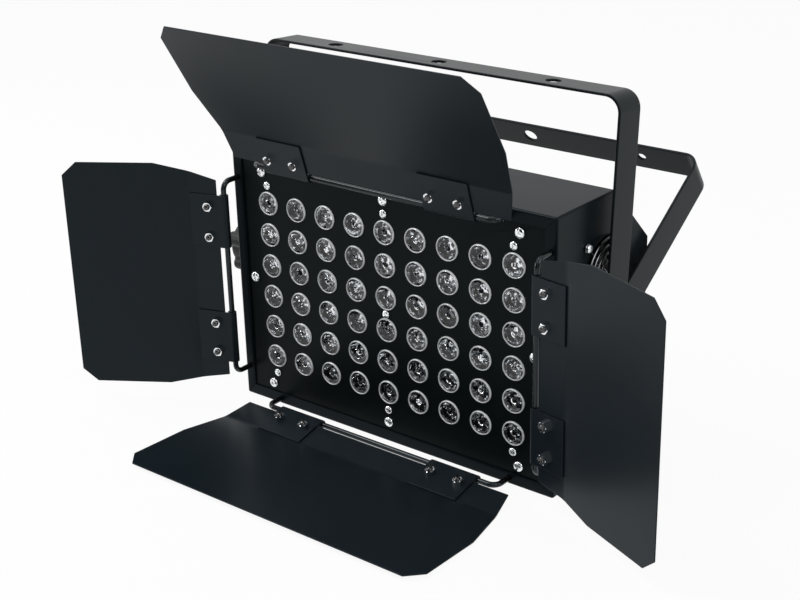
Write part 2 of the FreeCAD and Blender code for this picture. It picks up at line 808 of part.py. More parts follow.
def fan_guard(name, side):
    """Round wires on two crossed pairs of spokes that end in the screws' eyes."""
    lift = "casing_sheet + guard_wire"
    ring_lift = "casing_sheet + 2.8 * guard_wire"
    count = int(size("guard_rings"))
    wires = [torus("%s_ring_%d" % (name, i), "guard_outer - %d * guard_pitch" % i, "guard_wire",
                   (ring_lift, "0", "0"), ALONG_X) for i in range(count)]
    reach = "(fan_hole_pitch / 2 * sqrt(2) - guard_eye)"
    for i in range(4):
        turn = Rotation(Vector(1, 0, 0), 45 + 90 * i)
        wires.append(cylinder("%s_spoke_%d" % (name, i), "guard_wire", reach, (lift, "0", "0"), turn))
    for i, (y, z) in enumerate(fan_corners()):
        wires.append(torus("%s_eye_%d" % (name, i), "guard_eye", "guard_wire", (lift, y, z), ALONG_X))
    return keep(name, fuse(name + "_all", wires), fan_frame_of(side))


def fan_screws():
    """Four on each side, seated on the guard's eyes and ending in the fan frame."""
    master = pan_screw("fan_screw", "small_head_radius", "small_head_height", "small_shank_radius",
                       "fan_shank_length")
    places = []
    reach = size("fan_hole_pitch") / 2
    for side in (-1, 1):
        seat = side * (size("body_width") / 2 + 2 * size("guard_wire"))
        for i in (-1, 1):
            for j in (-1, 1):
                at = Vector(seat, size("fan_depth_place") + i * reach, size("fan_height_place") + j * reach)
                places.append(Placement(at, Rotation(Vector(0, 0, 1), 90 * side)))
    return keep("fan_screws", copies("fan_screws_all", master, places))


# Power supply, controls and sockets on the inside of the back

BOARD_BACK = BACK_INSIDE + " - control_gap"


def power_supply():
    case = block("supply_case", ("supply_width", "supply_depth", "supply_height"),
                 ("0", BACK_INSIDE + " - supply_depth", "0"))
    return keep("power_supply", case)


def control_board():
    """A board on four pillars with a switch behind each button."""
    plate = block("control_plate", ("control_width", "board_thickness", "control_height"),
                  ("control_x", BOARD_BACK + " - board_thickness", "control_z"))
    solids = [plate]
    for i in (-1, 1):
        for j in (-1, 1):
            x = "control_x + %d * (control_width / 2 - pillar_inset)" % i
            z = "control_z + %d * (control_height / 2 - pillar_inset)" % j
            solids.append(cylinder("pillar_%d_%d" % (i + 1, j + 1), "pillar_radius", "control_gap",
                                   (x, BOARD_BACK, z), ALONG_Y))
    for i, (x, z) in enumerate(button_places()):
        solids.append(block("switch_%d" % i, ("switch_size", "switch_height", "switch_size"),
                            (x, BOARD_BACK, z)))
    return keep("control_board", fuse("control_board_all", solids))


def display_window():
    pane = block("window_pane", ("window_width", "control_gap + casing_sheet + window_proud", "window_height"),
                 ("control_x", BOARD_BACK, "control_z + window_rise"))
    return keep("display_window", pane)


def menu_button(number, place):
    """A cap through the cover, a flange behind it and a stem that reaches to its switch."""
    x, z = place
    cap_start = BACK_INSIDE + " - button_slack"
    reach = "control_gap - switch_height - button_travel - 2 * fit - button_slack - button_flange"
    cap = cylinder("cap_%d" % number, "button_radius", "button_slack + casing_sheet + button_proud",
                   (x, cap_start, z), ALONG_Y)
    flange = cylinder("button_flange_%d" % number, "button_flange_radius", "button_flange",
                      (x, cap_start + " - button_flange", z), ALONG_Y)
    stem = cylinder("button_stem_%d" % number, "button_stem_radius", reach,
                    (x, cap_start + " - button_flange - (%s)" % reach, z), ALONG_Y)
    return keep("menu_button_%d" % number, fuse("button_all_%d" % number, [cap, flange, stem]))


def round_socket(name, x, z):
    """A square flange on the back, a barrel through it and a round mouth."""
    plate = block(name + "_plate", ("socket_flange_width", "socket_flange", "socket_flange_height"),
                  (x, DEPTH, z))
    barrel = cylinder(name + "_barrel", "socket_radius", "socket_depth", (x, DEPTH + " - socket_depth", z),
                      ALONG_Y)
    mouth = cylinder(name + "_mouth", "socket_mouth_radius", "socket_mouth_depth + overrun",
                     (x, DEPTH + " + socket_flange - socket_mouth_depth", z), ALONG_Y)
    return keep(name, cut(name + "_cut", fuse(name + "_solid", [plate, barrel]), [mouth]))


def fuse_holder():
    cap = cylinder("fuse_cap", "fuse_cap_radius", "fuse_cap_height", ("-fuse_x", DEPTH, "fuse_z"), ALONG_Y)
    barrel = cylinder("fuse_barrel", "fuse_radius", "fuse_depth", ("-fuse_x", DEPTH + " - fuse_depth", "fuse_z"),
                      ALONG_Y)
    return keep("fuse_holder", fuse("fuse_holder_all", [cap, barrel]))


def safety_eye():
    """A ring on a round foot for the safety cable, in the middle of the back."""
    foot = cylinder("eye_foot", "eye_base_radius", "eye_base", ("0", DEPTH, "0"), ALONG_Y)
    ring = torus("eye_ring", "eye_radius", "eye_wire", ("0", DEPTH + " + eye_base + eye_radius", "0"), ALONG_X)
    return keep("safety_eye", fuse("safety_eye_all", [foot, ring]))


# Doors. Door frame: x along the rod, y outwards from the panel, z out of the front, origin on the rod's axis

def door_place(side):
    """The door frame's place in the head frame, before the door's own angle."""
    outward = {"left": Vector(-1, 0, 0), "right": Vector(1, 0, 0),
               "top": Vector(0, 0, 1), "bottom": Vector(0, 0, -1)}[side]
    front = Vector(0, -1, 0)
    if side in ("left", "right"):
        reach = size("body_width") / 2 - size("side_rod_inset")
    else:
        reach = size("body_height") / 2 - size("end_rod_inset")
    at = outward * reach + front * size("rod_reach")
    return Placement(at, Rotation(outward.cross(front), outward, front, "XYZ"))


def door_frame(side):
    """The row-frame place of what turns with a door."""
    opened = Placement(Vector(), Rotation(Vector(1, 0, 0), size(side + "_angle")))
    return HEAD.multiply(door_place(side)).multiply(opened)


def kind_of(side):
    return "side" if side in ("left", "right") else "end"


PLATE_BACK = "(rod_radius + fit)"
LEAF_BACK = "(rod_radius + fit - leaf_sheet)"


def along_leaf(length):
    """How far out a place on the bent leaf lies, measured square to the rod."""
    return "(leaf_bend_place + (%s - leaf_bend_place) * cos(leaf_bend * 1 deg))" % length


def door_leaf(side):
    """Sheet with a bend along the hinge strip, flared sides and cut corners."""
    name = "door_leaf_" + side
    kind = kind_of(side)
    widest = "(%s_leaf_half + %s_leaf_flare)" % (kind, kind)
    body = doc.addObject("PartDesign::Body", name + "_body")
    section = sketch_on(body, "YZ_Plane")
    rise = "(leaf_length - leaf_bend_place) * sin(leaf_bend * 1 deg)"
    back_y = along_leaf("leaf_length") + " + leaf_sheet * sin(leaf_bend * 1 deg)"
    outline(section, [
        ("leaf_start", PLATE_BACK), ("leaf_start", LEAF_BACK),
        ("leaf_bend_place + leaf_sheet * tan(leaf_bend / 2 * 1 deg)", LEAF_BACK),
        (back_y, PLATE_BACK + " + %s - leaf_sheet * cos(leaf_bend * 1 deg)" % rise),
        (along_leaf("leaf_length"), PLATE_BACK + " + " + rise), ("leaf_bend_place", PLATE_BACK)])
    pad(body, section, "2 * (%s + overrun)" % widest, symmetric=True)

    shape = sketch_on(body, "XY_Plane")
    rectangle(shape, widest + " + 2 * overrun", "leaf_length + 2 * overrun")
    half_outline = [(kind + "_leaf_half", "leaf_start - overrun / 2"),
                    (widest, along_leaf(kind + "_leaf_widest_from")), (widest, along_leaf("leaf_widest_to")),
                    (widest + " - leaf_chamfer", along_leaf("leaf_length") + " + overrun / 6")]
    outline(shape, half_outline + [(minus(x), y) for x, y in reversed(half_outline)])
    pocket(body, shape, "4 * leaf_length")

    bolts = sketch_on(body, "XY_Plane")
    circles(bolts, door_bolt_places(side), "door_bolt_radius + hole_gap")
    pocket(body, bolts, "4 * hinge_sheet + 2 * rod_radius + overrun")
    return keep(name, body, door_frame(side))


def door_bolt_places(side):
    place = kind_of(side) + "_hinge_place"
    return [("%d * %s + %d * door_bolt_spread / 2" % (i, place, j), "door_bolt_place")
            for i in (-1, 1) for j in (-1, 1)]


def hinge_places(side):
    middle = size(kind_of(side) + "_hinge_place")
    return [Placement(Vector(i * middle, 0, 0), Rotation()) for i in (-1, 1)]


def bolt_points(side, level):
    middle, spread = size(kind_of(side) + "_hinge_place"), size("door_bolt_spread")
    return [Vector(i * middle + j * spread / 2, size("door_bolt_place"), level) for i in (-1, 1) for j in (-1, 1)]


def hinge_plate():
    """A strap rolled round the rod, its flat part on the front of the leaf."""
    start = minus(half("hinge_width"))
    barrel = cylinder("hinge_barrel", "rod_radius + fit + hinge_sheet", "hinge_width", (start, "0", "0"), ALONG_X)
    plate = primitive("Box", "hinge_flat", {"Length": "hinge_width", "Width": "leaf_bend_place",
                                            "Height": "hinge_sheet"}, (start, "0", PLATE_BACK))
    bore = cylinder("hinge_bore", PLATE_BACK, "hinge_width + 2 * overrun", (start + " - overrun", "0", "0"),
                    ALONG_X)
    holes = [cylinder("hinge_hole_%d" % (i + 1), "door_bolt_radius + hole_gap", "hinge_sheet + 2 * overrun",
                      ("%d * door_bolt_spread / 2" % i, "door_bolt_place", PLATE_BACK + " - overrun"))
             for i in (-1, 1)]
    return cut("hinge_plate_cut", fuse("hinge_plate_solid", [barrel, plate]), [bore] + holes)


def door_bolt():
    """A button head bolt through leaf and plate, seated at y = 0 with its head towards -Y."""
    length = "leaf_sheet + hinge_sheet + door_nut + door_bolt_end"
    dome = [("%.2f * door_bolt_head_radius" % a, "-%.2f * door_bolt_head" % b) for a, b in DOME_SHARES]
    return turned("door_bolt_body", [("0", "-door_bolt_head")] + dome + [
        ("door_bolt_head_radius", "0"), ("door_bolt_radius", "0"), ("door_bolt_radius", length), ("0", length)])


def hexagon(name, flats, height):
    return primitive("Prism", name, {"Circumradius": "%s / sqrt(3)" % flats, "Height": height})


def door_nut():
    bore = cylinder("door_nut_bore", "door_bolt_radius + fit", "door_nut + 2 * overrun", ("0", "0", "-overrun"))
    return cut("door_nut_cut", hexagon("door_nut_hexagon", "door_nut_flats", "door_nut"), [bore])


def door_rod(side):
    """Round wire bent to a U: a run along the door and two legs back through the lip."""
    name = "door_rod_" + side
    reach = kind_of(side) + "_rod_half"
    run = "2 * (%s - rod_bend)" % reach
    wires = [cylinder(name + "_run", "rod_radius", run, (minus(half(run)), "0", "0"), ALONG_X)]
    leg = "rod_reach + rod_tail - rod_bend"
    across, back = Vector(1, 0, 0), Vector(0, -1, 0)
    quarters = {-1: Rotation(Vector(0, 0, 1), -across, back, "XYZ"), 1: Rotation(across, Vector(0, 0, 1), back, "XYZ")}
    for i, quarter in quarters.items():
        bend = torus("%s_bend_%d" % (name, i + 1), "rod_bend", "rod_radius",
                     ("%d * (%s - rod_bend)" % (i, reach), "0", "-rod_bend"), quarter, "90")
        wires.append(bend)
        wires.append(cylinder("%s_leg_%d" % (name, i + 1), "rod_radius", leg,
                              ("%d * %s" % (i, reach), "0", "-rod_bend - (%s)" % leg)))
    return keep(name, fuse(name + "_all", wires), HEAD.multiply(door_place(side)))


def doors():
    plate, bolt, nut = hinge_plate(), door_bolt(), door_nut()
    for side in ("left", "right", "top", "bottom"):
        frame = door_frame(side)
        door_rod(side)
        door_leaf(side)
        keep("hinge_plates_" + side, copies("hinge_plates_" + side + "_all", plate, hinge_places(side)), frame)
        back = size("rod_radius") + size("fit") - size("leaf_sheet")
        front = size("rod_radius") + size("fit") + size("hinge_sheet")
        upwards = Rotation(Vector(1, 0, 0), 90)
        bolts = [Placement(point, upwards) for point in bolt_points(side, back)]
        nuts = [Placement(point, Rotation()) for point in bolt_points(side, front)]
        keep("door_bolts_" + side, copies("door_bolts_" + side + "_all", bolt, bolts), frame)
        keep("door_nuts_" + side, copies("door_nuts_" + side + "_all", nut, nuts), frame)


# Yokes and pivots. Yoke frame: x along the tilt axis, z towards the bar, origin on the axis

YOKE_GAP_INNER = "(body_width / 2 + spacer_length)"
YOKE_GAP_OUTER = "(body_width / 2 + spacer_length + bar_thickness + yoke_spacing)"


def yoke_frame(lean):
    tilt = Placement(Vector(), Rotation(Vector(1, 0, 0), -size(lean)))
    return HEAD.multiply(PIVOT).multiply(tilt)


def yoke(name, inner, reach, lean, holes):
    """Flat bar bent to a U, with rounded arm ends, pivot holes and holes in its top."""
    body = doc.addObject("PartDesign::Body", name + "_body")
    profile = sketch_on(body, "XZ_Plane")
    outer = inner + " + bar_thickness"
    right = [(outer, "-bar_tail"), (outer, reach), (inner, "-bar_tail"), (inner, reach + " - bar_thickness")]
    outline(profile, [(minus(outer), "-bar_tail"), (minus(outer), reach), right[1], right[0], right[2], right[3],
                      (minus(inner), reach + " - bar_thickness"), (minus(inner), "-bar_tail")])
    pad(body, profile, "bar_width", symmetric=True)
    pivots = sketch_on(body, "YZ_Plane")
    circles(pivots, [("0", "0")], "pivot_radius + fit")
    pocket(body, pivots, "2 * (%s + overrun)" % outer)
    for radius, places in holes:
        top = sketch_on(body, "XY_Plane", reach)
        circles(top, [(x, "0") for x in places], radius)
        pocket(body, top, "2 * (bar_thickness + overrun)")

    top_face = size(reach)
    under_face = top_face - size("bar_thickness")
    fillet(body, "y", "bar_bend", lambda p: abs(p.z - top_face) < size("fit"))
    fillet(body, "y", "bar_bend - bar_thickness", lambda p: abs(p.z - under_face) < size("fit"))
    fillet(body, "x", "bar_corner", lambda p: abs(p.z + size("bar_tail")) < size("fit"))
    return keep(name, body, yoke_frame(lean))


def yokes():
    yoke("upright_yoke", YOKE_GAP_OUTER, "upright_reach", "upright_lean",
         [("hang_hole_radius", ["-hang_hole_spread", "0", "hang_hole_spread"])])
    yoke("rear_yoke", YOKE_GAP_INNER, "rear_reach", "rear_lean",
         [("hang_hole_radius", ["0"]), ("small_hole_radius", ["-small_hole_spread", "small_hole_spread"])])


def ring_at(name, start, length, radius):
    """A washer or spacer on the tilt axis, from start outwards."""
    disc = cylinder(name + "_disc", radius, length, (start, "0", "0"), ALONG_X)
    bore = cylinder(name + "_bore", "pivot_radius + fit", "%s + 2 * overrun" % length,
                    ("%s - overrun" % start, "0", "0"), ALONG_X)
    return cut(name + "_ring", disc, [bore])


def both_sides():
    """The tilt axis in the head frame, seen from the right and from the left."""
    return [PIVOT, PIVOT.multiply(Placement(Vector(), Rotation(Vector(0, 0, 1), 180)))]


def pivots():
    """On each side: a stud in the wall, a spacer, and rings between and outside the yokes."""
    inside = "(body_width / 2 - casing_sheet)"
    stack = "casing_sheet + spacer_length + 2 * bar_thickness + yoke_spacing + washer_thickness"
    stud = cylinder("pivot_stud", "pivot_radius", stack + " + pivot_end", (inside, "0", "0"), ALONG_X)
    keep("pivot_studs", copies("pivot_studs_all", stud, both_sides()))
    spacer = ring_at("spacer", HALF_WIDTH, "spacer_length", "spacer_radius")
    keep("pivot_spacers", copies("pivot_spacers_all", spacer, both_sides()))
    between = ring_at("washer_inner", YOKE_GAP_INNER + " + bar_thickness", "yoke_spacing", "washer_radius")
    outside = ring_at("washer_outer", YOKE_GAP_OUTER + " + bar_thickness", "washer_thickness", "washer_radius")
    keep("pivot_washers", copies("pivot_washers_all", fuse("washer_pair", [between, outside]), both_sides()))


def knob(name, side):
    """A star knob with a collar on the end of a pivot stud; the right one is lower than the left."""
    start = YOKE_GAP_OUTER + " + bar_thickness + washer_thickness"
    collar = cylinder(name + "_collar", "knob_collar_radius", "knob_collar", (start, "0", "0"), ALONG_X)
    head_start = start + " + knob_collar"
    head_length = "knob_height_%s - knob_collar" % ("right" if side > 0 else "left")
    solids = [collar, cylinder(name + "_head", "knob_radius", head_length, (head_start, "0", "0"), ALONG_X)]
    count = int(size("knob_lobes"))
    for i in range(count):
        angle = 2 * math.pi / count * i + math.radians(size("knob_lobe_turn"))
        at = (head_start, "%.6f * knob_radius" % math.cos(angle), "%.6f * knob_radius" % math.sin(angle))
        solids.append(cylinder("%s_lobe_%d" % (name, i), "knob_lobe_radius", head_length, at, ALONG_X))
    bore = cylinder(name + "_bore", "pivot_radius + fit", "overrun + pivot_end + fit",
                    (start + " - overrun", "0", "0"), ALONG_X)
    frame = both_sides()[0 if side > 0 else 1]
    return keep(name, cut(name + "_cut", fuse(name + "_solid", solids), [bore]), HEAD.multiply(frame))


def check_and_write():
    """Stops on any failed object or empty sub-part, then writes one file per sub-part."""
    doc.recompute()
    failed = [thing.Label for thing in doc.Objects if "Invalid" in thing.State or "Error" in thing.State]
    if failed:
        raise ValueError("failed: %s" % failed)
    for thing in sub_parts:
        if thing.Shape.isNull() or not thing.Shape.isValid() or not thing.Shape.Solids:
            raise ValueError("bad shape: " + thing.Label)
    os.makedirs("parts", exist_ok=True)
    for thing in sub_parts:
        thing.Shape.exportStep("parts/%s.step" % thing.Label)
        print("%-20s solids %3d volume %12.1f" % (thing.Label, len(thing.Shape.Solids), thing.Shape.Volume))
    print(len(sub_parts), "sub-parts")


front_housing()
rear_cover()
front_panel()
lenses()
lens_holders()
led_emitters()
led_board()
heat_sink()
panel_screws()
board_screws()
panel_posts()
housing_screws()
for label_end, wall in (("left", -1), ("right", 1)):
    fan_frame("fan_frame_" + label_end, wall)
    fan_rotor("fan_rotor_" + label_end, wall)
    fan_guard("fan_guard_" + label_end, wall)
fan_screws()
power_supply()
control_board()
display_window()
for button, button_place in enumerate(button_places(), start=1):
    menu_button(button, button_place)
round_socket("power_inlet", "-socket_far_x", "socket_high_z")
round_socket("power_outlet", "-socket_near_x", "socket_high_z")
round_socket("data_inlet", "socket_near_x", "socket_low_z")
round_socket("data_outlet", "socket_far_x", "socket_low_z")
fuse_holder()
safety_eye()
doors()
yokes()
pivots()
knob("knob_left", -1)
knob("knob_right", 1)
check_and_write()
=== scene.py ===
# %% [markdown]
# # LED wash light with barn doors
#
# A wash light floods a stage with even colour. This one has a black sheet metal casing with 54 lenses in
# its front, four folding barn doors that shape the beam, and two flat bar yokes to hang it or stand it by.
# The finished CAD model is loaded first. It is a fixed frame: every body already turns and slides as it
# should. These cells dress it, so that it looks like the real thing from every side.

# %% Load the frame
import math

import bmesh
import bpy
from mathutils import Matrix, Vector


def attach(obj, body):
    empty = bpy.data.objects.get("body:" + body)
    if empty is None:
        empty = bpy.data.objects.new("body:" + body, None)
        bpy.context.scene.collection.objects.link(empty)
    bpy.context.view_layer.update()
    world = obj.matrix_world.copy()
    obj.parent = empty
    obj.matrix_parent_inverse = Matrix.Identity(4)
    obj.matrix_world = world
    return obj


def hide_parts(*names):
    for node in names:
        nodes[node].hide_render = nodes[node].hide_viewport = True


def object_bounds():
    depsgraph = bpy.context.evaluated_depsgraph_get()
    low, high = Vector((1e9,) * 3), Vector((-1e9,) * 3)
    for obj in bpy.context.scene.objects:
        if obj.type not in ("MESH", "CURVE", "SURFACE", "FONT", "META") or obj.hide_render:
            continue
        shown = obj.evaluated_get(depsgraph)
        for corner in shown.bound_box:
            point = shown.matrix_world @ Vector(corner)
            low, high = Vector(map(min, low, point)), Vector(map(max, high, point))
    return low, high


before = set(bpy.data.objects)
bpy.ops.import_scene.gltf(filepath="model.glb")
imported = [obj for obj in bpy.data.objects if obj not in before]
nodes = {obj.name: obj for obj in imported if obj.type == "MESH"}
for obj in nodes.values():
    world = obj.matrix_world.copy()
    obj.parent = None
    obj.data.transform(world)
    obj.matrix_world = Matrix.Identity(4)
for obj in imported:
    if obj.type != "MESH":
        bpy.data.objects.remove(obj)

cad_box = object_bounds()

# %% [markdown]
# ## Where things are
#
# Blender works in metres, while the drawing of the lamp is in millimetres. One helper takes a point of
# the casing, measured from the middle of its front, and gives its place in the scene. X runs to the right,
# Y backwards and Z up.

# %% Units and the casing's place
MM = 0.001
HEAD = Vector((0, -42, 123.5)) * MM


def in_head(x, y, z):
    """A point measured in millimetres from the middle of the casing's front, in the scene."""
    return HEAD + Vector((x, y, z)) * MM


print("casing front at", tuple(HEAD))

# %% [markdown]
# ## Node trees from short Python
#
# Both materials and Geometry Nodes are trees of nodes. One class adds a node of any type: settings
# first, then the values or links of its sockets. A second class wraps one output socket, so that sums
# and products can be written as plain arithmetic.

# %% A helper for node trees


class Wire:
    """One output socket. Arithmetic on it adds Math nodes."""

    def __init__(self, tree, socket):
        self.tree = tree
        self.socket = socket

    def maths(self, operation, other):
        return self.tree.node("ShaderNodeMath", {"operation": operation}, {0: self, 1: other})

    def __add__(self, other):
        return self.maths("ADD", other)

    def __sub__(self, other):
        return self.maths("SUBTRACT", other)

    def __mul__(self, other):
        return self.maths("MULTIPLY", other)


class Tree:
    """Adds nodes to one node tree."""

    def __init__(self, node_tree):
        self.node_tree = node_tree

    def node(self, kind, settings=None, sockets=None, output=0):
        """A node of this type: its settings are made first, then its sockets are filled or linked."""
        added = self.node_tree.nodes.new(kind)
        for name, value in (settings or {}).items():
            setattr(added, name, value)
        for key, value in (sockets or {}).items():
            if isinstance(value, Wire):
                self.node_tree.links.new(value.socket, added.inputs[key])
            else:
                added.inputs[key].default_value = value
        return Wire(self, added.outputs[output]) if len(added.outputs) else added


# %% [markdown]
# ## Finishes
#
# Nearly everything here is black, and what tells one black from another is how it reflects. Powder coat
# on the sheet metal has a soft sheen and a fine orange peel, the wire rods are smoother, rubber and
# plastic are duller. Each finish is one Principled shader whose colour, roughness and bump come from
# noise on Object coordinates, so the pattern stays on the piece when it moves.

# %% A material with cloudy tone, cloudy sheen and fine grain


def linear(red, green, blue):
    """A screen colour, 0 to 255, as the linear colour that a shader takes."""
    scaled = [c / 255 for c in (red, green, blue)]
    return tuple(c / 12.92 if c <= 0.04045 else ((c + 0.055) / 1.055) ** 2.4 for c in scaled) + (1.0,)


def noise(tree, place, scale, detail=3.0):
    return tree.node("ShaderNodeTexNoise", {}, {"Vector": place, "Scale": scale, "Detail": detail,
                                                "Roughness": 0.55})


def blended(tree, share, first, second):
    """A colour that goes from the first to the second as the share goes from zero to one."""
    return tree.node("ShaderNodeMix", {"data_type": "RGBA"}, {0: share, 6: first, 7: second}, output=2)


def new_coat(name, **constants):
    """A new material, its tree and its Principled shader, with these values on the shader's sockets."""
    material = bpy.data.materials.new(name)
    material.use_nodes = True
    shader = material.node_tree.nodes["Principled BSDF"]
    for socket, value in constants.items():
        shader.inputs[socket.replace("_", " ")].default_value = value
    return material, Tree(material.node_tree), shader


def link_coat(material, shader, **wires):
    """Links one wire to each named socket of the shader."""
    for socket, wire in wires.items():
        material.node_tree.links.new(wire.socket, shader.inputs[socket.replace("_", " ")])
    return material


SPECKS_PER_CLOUD = 17


def finish(name, dark, light, sheen, spread=0.06, grain=900.0, height=0.02, clouds=14.0, streak=None,
           **constants):
    """A procedural material between two tones, with its roughness varying by spread around sheen."""
    material, tree, shader = new_coat(name, **constants)
    place = tree.node("ShaderNodeTexCoord", output="Object")
    if streak:
        place = tree.node("ShaderNodeMapping", {}, {"Vector": place, "Scale": streak})
    cloud = noise(tree, place, clouds)
    speck = noise(tree, place, clouds * SPECKS_PER_CLOUD, detail=2.0)
    tone = blended(tree, cloud * 0.8 + speck * 0.2, dark, light)
    rough = (cloud * 0.6 + speck * 0.4 - 0.5) * (2 * spread) + sheen
    fine = noise(tree, place, grain, detail=2.0)
    bump = tree.node("ShaderNodeBump", {}, {"Strength": 1.0, "Distance": height * MM, "Height": fine})
    return link_coat(material, shader, Base_Color=tone, Roughness=rough, Normal=bump)


# The clear top of the powder coat gives a slightly cold sheen
BLUE_SHEEN = (0.82, 0.94, 1.0, 1.0)
COATS = {
    "casing_paint": finish("casing_paint", linear(9, 15, 19), linear(16, 24, 29), 0.32, height=0.012,
                           Specular_IOR_Level=0.08, Specular_Tint=BLUE_SHEEN),
    "panel_paint": finish("panel_paint", linear(7, 12, 14), linear(14, 20, 22), 0.34, height=0.01,
                          Specular_IOR_Level=0.07, Specular_Tint=BLUE_SHEEN),
    "door_paint": finish("door_paint", linear(13, 20, 24), linear(23, 31, 37), 0.30, clouds=9.0, height=0.012,
                         Specular_IOR_Level=0.18, Specular_Tint=BLUE_SHEEN),
    "yoke_paint": finish("yoke_paint", linear(15, 21, 23), linear(25, 30, 31), 0.32, clouds=16.0,
                         height=0.012, Specular_IOR_Level=0.11, Specular_Tint=BLUE_SHEEN),
    "rod_paint": finish("rod_paint", linear(8, 10, 12), linear(15, 17, 19), 0.14, grain=1600.0, height=0.004,
                        Specular_IOR_Level=0.4, Specular_Tint=BLUE_SHEEN),
    "black_plastic": finish("black_plastic", linear(12, 13, 14), linear(20, 21, 22), 0.42, grain=1300.0,
                            height=0.015, Specular_IOR_Level=0.3),
    "button_rubber": finish("button_rubber", linear(34, 34, 36), linear(46, 46, 48), 0.62, grain=1500.0),
    "blue_socket": finish("blue_socket", linear(20, 62, 150), linear(28, 78, 172), 0.36, grain=1400.0),
    "grey_socket": finish("grey_socket", linear(176, 178, 180), linear(196, 198, 200), 0.38, grain=1400.0),
    "black_socket": finish("black_socket", linear(16, 16, 17), linear(24, 24, 26), 0.34, grain=1400.0),
    "white_board": finish("white_board", linear(212, 214, 212), linear(228, 230, 228), 0.42, grain=1200.0),
    "green_board": finish("green_board", linear(14, 66, 38), linear(24, 88, 52), 0.30, grain=1200.0),
    "smoked_window": finish("smoked_window", linear(14, 10, 12), linear(20, 14, 16), 0.08, spread=0.02,
                            height=0.002),
}
print("coats", sorted(COATS))

# %% [markdown]
# ## Bare metal, wire and lenses
#
# The nuts and most screws are bright zinc, the doors' bolts and the casing's side screws are black, and the
# fan guards are chromed wire. Metal shows what stands round it, so its tone is light and its roughness is
# low. The bare aluminium has faint streaks, as rolling leaves them.
# A lens is clear acrylic inside a frosted flange. The flange scatters light and looks white. The cone
# behind the face sends light forward by total reflection, which takes many bounces inside the acrylic to
# render. So the cone gets a mirroring finish with lighter and darker facets, which stands in for it.

# %% Metals, frosted flange and clear optic
COATS.update({
    "zinc_steel": finish("zinc_steel", linear(224, 228, 230), linear(244, 246, 248), 0.14, spread=0.05,
                         clouds=120.0, grain=2600.0, height=0.006, Metallic=1.0),
    "black_screw": finish("black_screw", linear(30, 31, 32), linear(44, 45, 47), 0.30, spread=0.08,
                          clouds=120.0, grain=2600.0, height=0.006, Metallic=0.6),
    "bolt_steel": finish("bolt_steel", linear(14, 15, 16), linear(26, 27, 28), 0.12, spread=0.05,
                         clouds=120.0, grain=2600.0, height=0.004, Specular_IOR_Level=1.0),
    "chrome_wire": finish("chrome_wire", linear(96, 99, 102), linear(138, 141, 144), 0.10, spread=0.04,
                          clouds=60.0, grain=2000.0, height=0.004, Metallic=1.0),
    "bare_aluminium": finish("bare_aluminium", linear(168, 170, 172), linear(200, 202, 204), 0.36,
                             streak=(1.0, 1.0, 14.0), clouds=30.0, height=0.006, Metallic=1.0),
    "emitter_resin": finish("emitter_resin", linear(70, 72, 66), linear(104, 104, 92), 0.16,
                            grain=1200.0, height=0.004),
    "frosted_flange": finish("frosted_flange", linear(204, 207, 210), linear(240, 242, 243), 0.14,
                             clouds=120.0, grain=1500.0, height=0.006, Specular_IOR_Level=1.0),
    "contact_brass": finish("contact_brass", linear(212, 170, 92), linear(232, 196, 120), 0.22,
                            clouds=90.0, Metallic=1.0),
    "dark_gap": finish("dark_gap", linear(6, 6, 7), linear(10, 10, 11), 0.7),
})


# The optic mirrors from this many millimetres behind the casing's front
CONE_DEPTH = 1.9
FACET_SCALE, DARK_FACETS = 290.0, 0.47
RIPPLE_SCALE, RIPPLE_HEIGHT = 330.0, 0.3


def clear_optic(name):
    """Clear acrylic with a mirroring cone, in light and dark facets with a rippled surface."""
    material, tree, shader = new_coat(name, Transmission_Weight=1.0, IOR=1.49, Specular_IOR_Level=0.2)
    place = tree.node("ShaderNodeTexCoord", output="Object")
    depth = tree.node("ShaderNodeSeparateXYZ", {}, {"Vector": place}, output="Y")
    behind = depth.maths("GREATER_THAN", in_head(0, CONE_DEPTH, 0).y)
    facets = tree.node("ShaderNodeTexVoronoi", {"feature": "F1"}, {"Vector": place, "Scale": FACET_SCALE},
                       output="Color")
    pale = tree.node("ShaderNodeSeparateXYZ", {}, {"Vector": facets}).maths("GREATER_THAN", DARK_FACETS)
    mirror = blended(tree, pale, linear(112, 114, 116), linear(252, 253, 254))
    tone = blended(tree, behind, linear(240, 243, 246), mirror)
    ripple = tree.node("ShaderNodeTexVoronoi", {"feature": "F1"}, {"Vector": place, "Scale": RIPPLE_SCALE})
    bump = tree.node("ShaderNodeBump", {}, {"Strength": 0.35, "Distance": RIPPLE_HEIGHT * MM, "Height": ripple})
    return link_coat(material, shader, Base_Color=tone, Roughness=noise(tree, place, 300.0) * 0.04,
                     Metallic=behind, Normal=bump)


COATS["clear_lens"] = clear_optic("clear_lens")
print("finishes", len(COATS))

# %% [markdown]
# ## From CAD solid to soft edged piece
#
# A CAD solid has perfectly sharp edges, and the eye notices at once. Real sheet metal is bent over a
# radius, and its cut edges are tumbled and painted, so every edge catches a thin line of light. A copy of
# the CAD mesh is merged into whole faces, and a Bevel modifier rounds what is sharper than 30 degrees.
# Weighted normals keep the flat faces flat. The result is turned into a plain mesh.

# %% Helpers that make and mount pieces


def shown(name, mesh):
    """An object for the mesh, linked into the scene."""
    thing = bpy.data.objects.new(name, mesh)
    bpy.context.scene.collection.objects.link(thing)
    return thing


def plain(thing):
    """Replaces the object's mesh by what its modifiers make of it, and removes them."""
    bpy.context.view_layer.update()
    graph = bpy.context.evaluated_depsgraph_get()
    mesh = bpy.data.meshes.new_from_object(thing.evaluated_get(graph), preserve_all_data_layers=True,
                                           depsgraph=graph)
    thing.modifiers.clear()
    thing.data = mesh
    mesh.name = thing.name
    return thing


